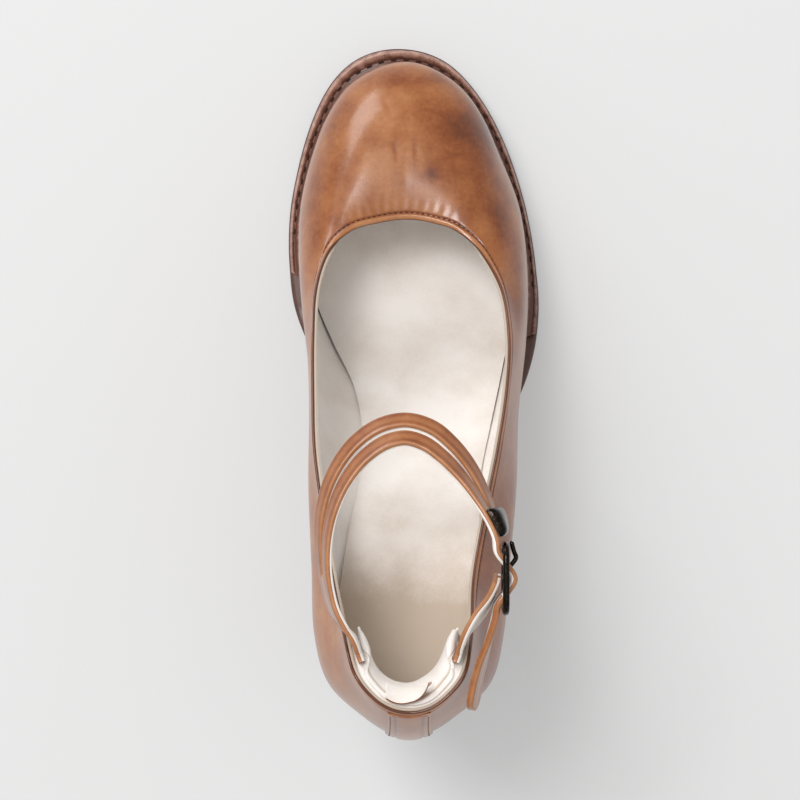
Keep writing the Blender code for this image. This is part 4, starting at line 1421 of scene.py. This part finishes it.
@dataclass(frozen=True)
class StrapForm:
    """Path, width and lean of the ankle straps, in shares of the ankle's own sizes."""

    half_width: float = 0.0305
    reach: float = 0.0753
    height: float = 0.1480
    width: float = 0.0140
    thick: float = 0.0022
    slit: float = 0.0022
    lean: float = math.radians(44)
    root_width: float = 0.0098
    slit_from: float = 0.16
    slit_to: float = 0.66
    ankle: Table = table(
        "across along height lean",
        (-0.492, -0.027, 0.983, 0.00),
        (-0.540, 0.027, 0.983, 0.00),
        (-0.588, 0.075, 0.992, 0.00),
        (-0.682, 0.125, 0.995, 0.10),
        (-0.785, 0.195, 0.996, 0.20),
        (-0.850, 0.280, 0.994, 0.25),
        (-0.898, 0.438, 0.997, 0.35),
        (-0.860, 0.620, 1.000, 0.60),
        (-0.725, 0.765, 1.000, 0.80),
        (-0.505, 0.882, 1.000, 0.95),
        (-0.262, 0.947, 1.000, 1.00),
        (-0.033, 0.965, 1.000, 1.00),
        (0.197, 0.938, 1.003, 1.00),
        (0.390, 0.878, 1.007, 0.90),
        (0.566, 0.798, 1.010, 0.75),
        (0.732, 0.690, 1.017, 0.50),
        (0.860, 0.571, 1.024, 0.20),
        (0.903, 0.490, 1.027, 0.00),
        (0.915, 0.450, 1.028, 0.00),
        (1.010, 0.395, 1.028, 0.00),
        (1.087, 0.337, 1.028, 0.00),
        (1.010, 0.279, 1.028, 0.00),
        (0.912, 0.220, 1.027, 0.00),
        (0.893, 0.180, 1.024, 0.00),
        (0.843, 0.100, 1.014, 0.05),
        (0.754, -0.027, 0.997, 0.20),
        (0.690, -0.146, 0.983, 0.25),
        (0.665, -0.226, 0.975, 0.30),
    )
    short: Table = table(
        "across along height lean",
        (0.480, -0.027, 0.983, 0.0),
        (0.527, 0.027, 0.984, 0.0),
        (0.585, 0.085, 0.997, -0.10),
        (0.740, 0.186, 1.008, -0.25),
        (0.860, 0.275, 1.020, -0.10),
        (0.915, 0.345, 1.028, 0.0),
    )

    def frames(self, path: Table, at: np.ndarray) -> tuple[np.ndarray, np.ndarray, np.ndarray]:
        """Middle line, outward and upward directions of a strap.

        Args:
            path: Table of the strap's middle line.
            at: Shares of its length.

        Returns:
            Points, outward directions and upward directions.
        """
        points = np.column_stack([
            path["across"] * self.half_width,
            path["along"] * self.reach,
            path["height"] * self.height,
        ])
        chords = np.linalg.norm(np.diff(points, axis=0), axis=-1)
        knots = np.concatenate([[0], np.cumsum(chords)]) / chords.sum()

        def line(share: np.ndarray) -> np.ndarray:
            return np.stack([cubic(knots, points[:, axis], share) for axis in range(3)], -1)

        step = 1e-3
        forward = unit(line(at + step) - line(at - step))
        side = unit(np.stack([-forward[:, 1], forward[:, 0], np.zeros(len(at))], -1))
        lean = self.lean * cubic(knots, path["lean"], at)[:, None]
        upward = np.array(UP) * np.cos(lean) - side * np.sin(lean)
        upward -= forward * np.sum(upward * forward, axis=-1, keepdims=True)
        upward = unit(upward)
        return line(at), np.cross(upward, forward), upward


STRAP = StrapForm()


@dataclass
class Strap:
    """A leather strap with rounded edges, lined in cream, perhaps with a slit and a hole."""

    name: str
    node: str
    path: Table
    count: int
    round_from: float
    root: float
    slit: bool = False
    hole_along: float | None = None
    lined_to: float = 1.0
    roll: float = 0.0007
    edge_share: float = 0.25
    crown_share: float = 0.75
    slit_margin: float = 0.005

    def rolled(self, edge: np.ndarray) -> np.ndarray:
        """Share of the strap's thickness at a distance from an edge, in rolls."""
        return rounded(edge, 0.0) * self.crown_share + self.edge_share

    def offsets(self) -> np.ndarray:
        """Places across the strap, close together at each edge."""
        half, slit = STRAP.width / 2, STRAP.slit / 2
        edge = np.array([0.0, 0.08, 0.25, 0.6, 1.0]) * self.roll
        face = np.linspace(slit + 2 * self.roll, half - 2 * self.roll, 6)
        low = np.concatenate([slit + edge, face, half - edge[::-1]])
        return np.concatenate([-low[::-1], low])[::-1]

    def build(self, finishes: Finishes) -> bpy.types.Object:
        """Make the strap as a sheet with two skins and walls at its free edges."""
        at = np.linspace(0, 1, self.count)
        middle, outward, upward = STRAP.frames(self.path, at)
        half, slit = STRAP.width / 2, STRAP.slit / 2
        offset = self.offsets()
        grow = STRAP.root_width + (STRAP.width - STRAP.root_width) * blend(at, 0, self.root)
        share = rounded((1 - at) / (1 - self.round_from), 0.04) * grow / STRAP.width
        edge = (half - np.abs(offset)) / self.roll
        thick = np.tile(self.rolled(edge), (self.count, 1))
        if self.slit:
            edge = np.minimum(half - np.abs(offset), np.abs(offset) - slit) / self.roll
            first, last = STRAP.slit_from - self.slit_margin, STRAP.slit_to + self.slit_margin
            inside = (at > first) & (at < last)
            thick = np.where(inside[:, None], self.rolled(edge), thick)
        spread = middle[:, None] + upward[:, None] * (offset[None, :] * share[:, None])[..., None]
        skin = outward[:, None] * (STRAP.thick / 2 * thick)[..., None]
        kept = self.kept(at, middle)
        tone = np.tile(0.40 * bump(edge, 1.8, 1.0) - 0.35 * bump(edge, 0.0, 0.9), (self.count, 1))
        piece = Piece(self.name)
        sheet(piece, spread + skin, spread - skin, kept, tone, int(self.lined_to * self.count))
        made = piece.finish([finishes.strap, finishes.lining], "strap_leather", weld=1e-7)
        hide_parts(self.node)
        return made

    def kept(self, at: np.ndarray, middle: np.ndarray) -> np.ndarray:
        """Cells of the strap that aren't cut away by the slit or by the prong's hole."""
        columns = len(self.offsets())
        kept = np.ones((self.count - 1, columns - 1), dtype=bool)
        centre = columns // 2 - 1
        halfway = (at[1:] + at[:-1]) / 2
        if self.slit:
            kept[:, centre] = (halfway < STRAP.slit_from) | (halfway > STRAP.slit_to)
        if self.hole_along is not None:
            hole = np.argmin(np.abs(middle[:-1, 1] - self.hole_along) + (at[:-1] < 0.5))
            kept[hole - 2:hole + 3, centre] = False
        return kept


def sheet(
    piece: Piece,
    outer: np.ndarray,
    inner: np.ndarray,
    kept: np.ndarray,
    tone: np.ndarray,
    lined_rows: int,
    roll_cells: int = 5,
) -> None:
    """Add a thick sheet: two grids of points, with walls at every free edge and at every hole.

    Args:
        piece: Piece that takes the faces.
        outer: Grid of the outer skin.
        inner: Grid of the inner skin.
        kept: Cells that are there.
        tone: Burnish value of each point.
        lined_rows: Rows whose upper edge shows the lining.
        roll_cells: Cells of the inner skin that the leather rolls over past those rows.
    """
    rows, columns = outer.shape[:2]
    first = piece.add_points(outer, tone)
    behind = piece.add_points(inner, 0.0) - first
    edges: dict[tuple[int, int], Side] = {}
    for row, column in zip(*np.nonzero(kept)):
        start = first + int(row) * columns + int(column)
        corners = (start, start + columns, start + columns + 1, start + 1)
        piece.faces += [corners, tuple(behind + corner for corner in reversed(corners))]
        rolled = row >= lined_rows and column < roll_cells
        piece.slots += [Side.LEATHER, Side.LEATHER if rolled else Side.LINING]
        for place in range(4):
            one, two = corners[place], corners[(place + 1) % 4]
            if (two, one) in edges:
                del edges[(two, one)]
            else:
                lined = place == 3 and column == 0 and row < lined_rows
                edges[(one, two)] = Side.LINING if lined else Side.LEATHER
    for (one, two), side in edges.items():
        piece.faces.append((two, one, behind + one, behind + two))
        piece.slots.append(side)


@dataclass
class CollarLining:
    """Soft cream lining inside the heel collar, with a fold line near its upper edge."""

    thick: float = 0.0016
    reach: float = 0.125
    foot: float = 0.30
    inset: float = 0.0062
    top: float = 0.988
    end_thin: float = 0.45
    end_thin_from: float = 0.85
    end_drop: float = 0.03
    end_drop_from: float = 0.80
    end_short: float = 0.86
    end_short_from: float = 0.66
    roll_reach: float = 0.03
    fold_place: float = 0.055
    fold_width: float = 0.012
    fold_depth: float = 0.00030
    fold_painted_shade: float = 0.5
    edge: Table = table(
        "station inset",
        (0.00, 0.52),
        (0.50, 0.52),
        (0.68, 0.60),
        (0.80, 0.96),
        (0.90, 0.90),
        (1.00, 0.84),
    )
    crest: Table = table(
        "station across along height",
        (-1.00, -0.620, 0.150, 0.870),
        (-0.75, -0.485, 0.020, 0.873),
        (-0.45, -0.345, -0.080, 0.873),
        (-0.20, -0.170, -0.130, 0.873),
        (0.00, 0.000, -0.140, 0.873),
        (0.20, 0.150, -0.115, 0.873),
        (0.45, 0.305, -0.060, 0.873),
        (0.75, 0.450, 0.050, 0.873),
        (1.00, 0.600, 0.150, 0.870),
    )

    def surface(self, along: np.ndarray, down: np.ndarray) -> np.ndarray:
        """From the upper edge over the fullest line to the counter's inner face."""
        along, down = matched(along, down)
        around = np.mod(-along * self.reach, 1.0)
        inset = self.inset * cubic(self.edge["station"], self.edge["inset"], np.abs(along))
        crest = np.stack([
            cubic(self.crest["station"], self.crest["across"], along) * STRAP.half_width,
            cubic(self.crest["station"], self.crest["along"], along) * STRAP.reach,
            cubic(self.crest["station"], self.crest["height"], along) * LAST.collar_height,
        ], -1)
        top = self.top - self.end_drop * blend(np.abs(along), self.end_drop_from, 1.0)
        lines = [
            LAST.skin_at(around, top, -inset),
            crest,
            LAST.skin_at(around, self.foot, -LAST.wall - LAST.gap - self.thick),
        ]
        short = 1 - self.end_short * blend(np.abs(along), self.end_short_from, 1.0)
        v = (down * short)[..., None] * 2
        upper = lines[0] * (1 - v) * (2 - v) / 2 + lines[1] * v * (2 - v)
        return upper + lines[2] * v * (v - 1) / 2

    def build(self, finishes: Finishes) -> bpy.types.Object:
        """Make the lining with a rolled upper edge."""
        along, down = np.meshgrid(
            np.linspace(-1, 1, 181), np.linspace(0, 1, 61), indexing="ij")
        middle = self.surface(along, down)
        normal = normals_of(self.surface, along, down)
        roll = rounded(down / self.roll_reach, 0.06)
        thin = 1 - (1 - self.end_thin) * blend(np.abs(along), self.end_thin_from, 1.0)
        half = normal * (roll * thin * self.thick / 2)[..., None]
        line = bump(down, self.fold_place, self.fold_width)
        fold = normal * (self.fold_depth * line)[..., None]
        loops = np.concatenate([middle + half - fold, (middle - half + fold)[:, ::-1]], 1)
        # Painted shade along the fold line, darker than the cream around it.
        dark = self.fold_painted_shade * np.concatenate([line, line[:, ::-1]], 1)
        piece = Piece("collar_lining_leather")
        piece.add_grid(loops, tone=dark, loop_columns=True)
        piece.add_caps(loops)
        made = piece.finish([finishes.lining], "lining_leather")
        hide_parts("collar_lining")
        return made


@dataclass
class CollarLedge:
    """Narrow cream ledge that closes the lining to the upper under the rim."""

    reach: float = 0.96
    below: float = 0.0012
    sag: float = 0.0003
    thick: float = 0.0008
    into_wall: float = 0.9
    into_lining: float = 0.02

    def build(self, finishes: Finishes, lining: CollarLining) -> bpy.types.Object:
        """Make the ledge from the upper's inner face to the lining."""
        along = np.linspace(-self.reach, self.reach, 161)
        around = np.mod(-along * lining.reach, 1.0)
        up = LAST.up_below(around, np.array([self.below]))[:, 0]
        outer = LAST.skin_at(around, up, -LAST.wall * self.into_wall)
        inner = lining.surface(along, np.full_like(along, self.into_lining))
        inner[:, 2] = np.minimum(inner[:, 2], outer[:, 2])
        middle = (outer + inner) / 2 - np.array([0, 0, self.sag])
        down = np.array([0, 0, self.thick])
        loops = np.stack([outer, middle, inner, inner - down, middle - down, outer - down], 1)
        piece = Piece("collar_seat_leather")
        piece.add_grid(loops, tone=0.0, loop_columns=True)
        piece.add_caps(loops)
        return piece.finish([finishes.lining], "lining_leather")


@dataclass
class HeelGrip:
    """Small leather tab on the lining at the back, free of it at its outer end."""

    start: float = -0.34
    end: float = 0.40
    rise: float = -0.02
    drop: float = 0.17
    shift: float = 0.05
    thick: float = 0.0007
    stand_off: float = 0.0011
    lift: float = 0.0050
    narrow: float = 0.75
    narrow_from: float = 0.35
    curl: float = 0.6

    def build(self, finishes: Finishes, lining: CollarLining) -> bpy.types.Object:
        """Make the tab on the lining's own function: brown outside, cream inside."""
        share = np.linspace(0, 1, 49)
        along, part = np.meshgrid(
            self.start + (self.end - self.start) * share, np.linspace(0, 1, 25), indexing="ij")
        wide = 1 - self.narrow * blend(share, self.narrow_from, 1.0)
        reach = (self.drop - self.rise) * wide[:, None]
        down = self.rise + self.shift * (share**2)[:, None] + reach * part
        middle = lining.surface(along, down)
        normal = normals_of(lining.surface, along, down)
        off = self.stand_off + self.lift * (share**2)[:, None] * (1 - self.curl * part)
        middle = middle + normal * off[..., None]
        half = normal * self.thick / 2
        loops = np.concatenate([middle + half, (middle - half)[:, ::-1]], 1)
        slots = np.full(loops.shape[1], Side.LEATHER)
        slots[:along.shape[1] - 1] = Side.LINING
        piece = Piece("heel_grip_tab")
        piece.add_grid(loops, slots[None, :], 0.0, loop_columns=True)
        piece.add_caps(loops, Side.LINING)
        return piece.finish([finishes.strap, finishes.lining], "lining_leather")


def tube(
    name: str,
    path: np.ndarray,
    radius: np.ndarray | float,
    closed: bool,
    side_hint: tuple[float, float, float],
    sides: int = 18,
) -> Piece:
    """Round wire along a path.

    Args:
        name: Name of the object.
        path: Points of its middle line.
        radius: Radius at each point, or one for all.
        closed: Whether the wire joins itself.
        side_hint: Direction that the wire never runs along.
        sides: Points round the wire.

    Returns:
        The wire's mesh in the making.
    """
    ahead = np.roll(path, -1, 0) - np.roll(path, 1, 0) if closed else np.gradient(path, axis=0)
    forward = unit(ahead)
    side = unit(np.cross(forward, np.array(side_hint)))
    third = np.cross(forward, side)
    size = np.broadcast_to(np.asarray(radius, float), (len(path),))[:, None, None]
    angle = round_loop(sides)[:, None]
    loops = path[:, None] + size * (side[:, None] * np.cos(angle) + third[:, None] * np.sin(angle))
    piece = Piece(name)
    piece.add_grid(loops, loop_rows=closed, loop_columns=True)
    if not closed:
        piece.add_caps(loops)
    return piece


@dataclass
class Buckle:
    """Dark frame buckle with a middle bar, its prong and the keeper in front of it."""

    out: float = 0.0305
    along: float = 0.0254
    height: float = 0.1522
    length: float = 0.0212
    tall: float = 0.0190
    wire: float = 0.0022
    prong: float = 0.0015
    prong_seat: float = 0.0042
    keeper_length: float = 0.0090
    keeper_thick: float = 0.0034
    keeper_along: float = 0.0426
    keeper_end: float = 0.30
    keeper_corner: float = 0.6
    keeper_width: float = 0.88
    keeper_swell: float = 0.12
    corner: float = 0.42
    bar_share: float = 0.93
    prong_crest: float = 0.0012
    prong_dip: float = 0.0006
    prong_bend: float = 0.0022
    prong_taper: float = 0.35
    sideways: tuple[float, float, float] = (1, 0.02, 0.013)

    def build(self, finishes: Finishes) -> list[bpy.types.Object]:
        """Make the frame with its bar, the prong and the keeper."""
        angle = round_loop(160)
        along = squared_off(np.cos(angle), self.corner) * self.length / 2
        up = squared_off(np.sin(angle), self.corner) * self.tall / 2
        path = np.column_stack([
            np.full_like(along, self.out), self.along + along, self.height + up,
        ])
        frame = tube("buckle_frame_metal", path, self.wire / 2, True, self.sideways)
        heights = self.height + np.linspace(-1, 1, 24) * self.tall / 2
        bar = np.column_stack([
            np.full_like(heights, self.out), np.full_like(heights, self.along), heights,
        ])
        radius = self.wire / 2 * self.bar_share
        post = tube("buckle_bar_metal", bar, radius, False, self.sideways)
        made = []
        for piece, node in (
            (frame, "buckle_frame"),
            (post, None),
            (self.prong_wire(), "buckle_prong"),
            (self.keeper(), "strap_keeper"),
        ):
            item = piece.finish([finishes.metal], "dark_metal")
            if node:
                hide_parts(node)
            made.append(item)
        return made

    def prong_wire(self) -> Piece:
        """Prong from the middle bar, through the strap's hole, to rest on the front bar."""
        out = self.out + self.wire / 2 + self.prong / 2 + LAST.gap
        front = self.along + self.length / 2
        points = np.array([
            (self.out, self.along + self.wire / 2 + self.prong / 2 + LAST.gap),
            (out - LAST.gap, self.along + self.prong_seat),
            (out + self.prong_crest, self.along + self.prong_seat + self.prong_bend),
            (out + self.prong_dip, front - self.prong_bend),
            (out, front),
            (out, front + self.wire / 2),
        ])
        knots = np.linspace(0, 1, len(points))
        at = np.linspace(0, 1, 60)
        plan = np.stack([cubic(knots, points[:, axis], at) for axis in range(2)], -1)
        path = np.column_stack([plan, np.full(60, self.height)])
        radius = self.prong / 2 * (1 - self.prong_taper * blend(at, 0.85, 1.0))
        return tube("buckle_prong_metal", path, radius, False, UP)

    def keeper(self) -> Piece:
        """Rounded metal bar on the strap's outer face."""
        at = np.linspace(0, 1, 1200)
        middle = STRAP.frames(STRAP.ankle, at)[0]
        place = at[np.argmin(np.abs(middle[:, 1] - self.keeper_along) + (at < 0.5))]
        half = self.keeper_length / np.linalg.norm(np.diff(middle, axis=0), axis=-1).sum() / 2
        share = np.sin(np.linspace(-math.pi / 2, math.pi / 2, 41))
        line, outward, upward = STRAP.frames(STRAP.ankle, place + half * share)
        full = np.sqrt(np.clip(1 - share**4, 0, 1))[:, None]
        angle = np.linspace(0, math.pi, 41)[None, :]
        wide = STRAP.width / 2 * (self.keeper_width + self.keeper_swell * full)
        up = wide * squared_off(np.cos(angle), self.keeper_corner)
        thick = self.keeper_thick * (self.keeper_end + (1 - self.keeper_end) * full)
        out = STRAP.thick / 2 + LAST.gap + thick * np.abs(np.sin(angle)) ** self.keeper_corner
        loops = line[:, None] + upward[:, None] * up[..., None] + outward[:, None] * out[..., None]
        piece = Piece("strap_keeper_metal")
        piece.add_grid(loops, loop_columns=True)
        piece.add_caps(loops)
        return piece


@dataclass(frozen=True)
class Lamp:
    """Square soft light that looks at the middle of the shoe."""

    name: str
    place: tuple[float, float, float]
    size: float
    power: float
    target: tuple[float, float, float] = (0, 0.08, 0.05)

    def hang(self) -> None:
        """Put the light in the scene."""
        lamp = bpy.data.lights.new(self.name, "AREA")
        lamp.size = self.size
        lamp.energy = self.power
        item = add_object(self.name, lamp)
        item.location = self.place
        towards = Vector(self.target) - Vector(self.place)
        item.rotation_euler = towards.to_track_quat("-Z", "Y").to_euler()


@dataclass
class Studio:
    """Pale floor, soft light from the inner toe side and a camera straight above."""

    camera_place: tuple[float, float, float] = (-0.003, 0.082, 1.30)
    sensor_mm: float = 36.0
    lens_mm: float = 162.5
    floor_half: float = 4.0
    sky: float = 0.62
    lamps: tuple[Lamp, ...] = (
        Lamp("key", (-0.62, 0.72, 2.20), 0.75, 27.0),
        Lamp("toe", (-1.20, 2.00, 0.95), 1.1, 22.0),
        Lamp("top", (-0.15, 0.00, 2.40), 1.3, 4.0),
    )

    def build(self) -> None:
        """Make the floor, the lights and the camera."""
        far = self.floor_half
        mesh = bpy.data.meshes.new("studio_floor")
        mesh.from_pydata(
            [(-far, -far, 0), (far, -far, 0), (far, far, 0), (-far, far, 0)], [], [(0, 1, 2, 3)])
        # Painted light: the floor's glow of 0.26 lights its own shadows, so the shoe's cast shadow
        # is paler.
        mesh.materials.append(Plain("studio paper", Tint.FLOOR, 0.85, 2.0, 0.02, 0.26).make())
        add_object("studio_floor", mesh)
        for lamp in self.lamps:
            lamp.hang()
        world = bpy.data.worlds.new("studio")
        world.use_nodes = True
        sky = world.node_tree.nodes["Background"]
        sky.inputs["Color"].default_value = (1, 1, 1, 1)
        sky.inputs["Strength"].default_value = self.sky
        scene = bpy.context.scene
        scene.world = world
        scene.view_settings.view_transform = "Standard"
        lens = bpy.data.cameras.new("photo camera")
        lens.sensor_width = self.sensor_mm
        lens.lens = self.lens_mm
        scene.camera = add_object("photo camera", lens)
        scene.camera.location = self.camera_place


def main() -> None:
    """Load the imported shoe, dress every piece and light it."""
    logging.basicConfig(level=logging.INFO, format="%(name)s: %(message)s")
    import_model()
    finishes = Finishes.make()
    Sole().build(finishes)
    Insole().build(finishes)
    welt = Welt()
    welt.build(finishes)
    welt.stitch(finishes)
    Heel().build(finishes)
    upper = Upper()
    upper.build(finishes)
    upper.stitch(finishes)
    backstay = Backstay()
    backstay.build(finishes)
    backstay.stitch(finishes)
    lining = CollarLining()
    lining.build(finishes)
    CollarLedge().build(finishes, lining)
    HeelGrip().build(finishes, lining)
    buckle = Buckle()
    Strap(
        "ankle_strap_leather", "ankle_strap", STRAP.ankle, count=460, round_from=0.975, root=0.09,
        slit=True, hole_along=buckle.along + buckle.prong_seat, lined_to=0.80,
    ).build(finishes)
    Strap(
        "buckle_strap_leather", "buckle_strap", STRAP.short, count=110, round_from=0.97, root=0.5,
    ).build(finishes)
    buckle.build(finishes)
    Studio().build()


if __name__ == "__main__":
    main()
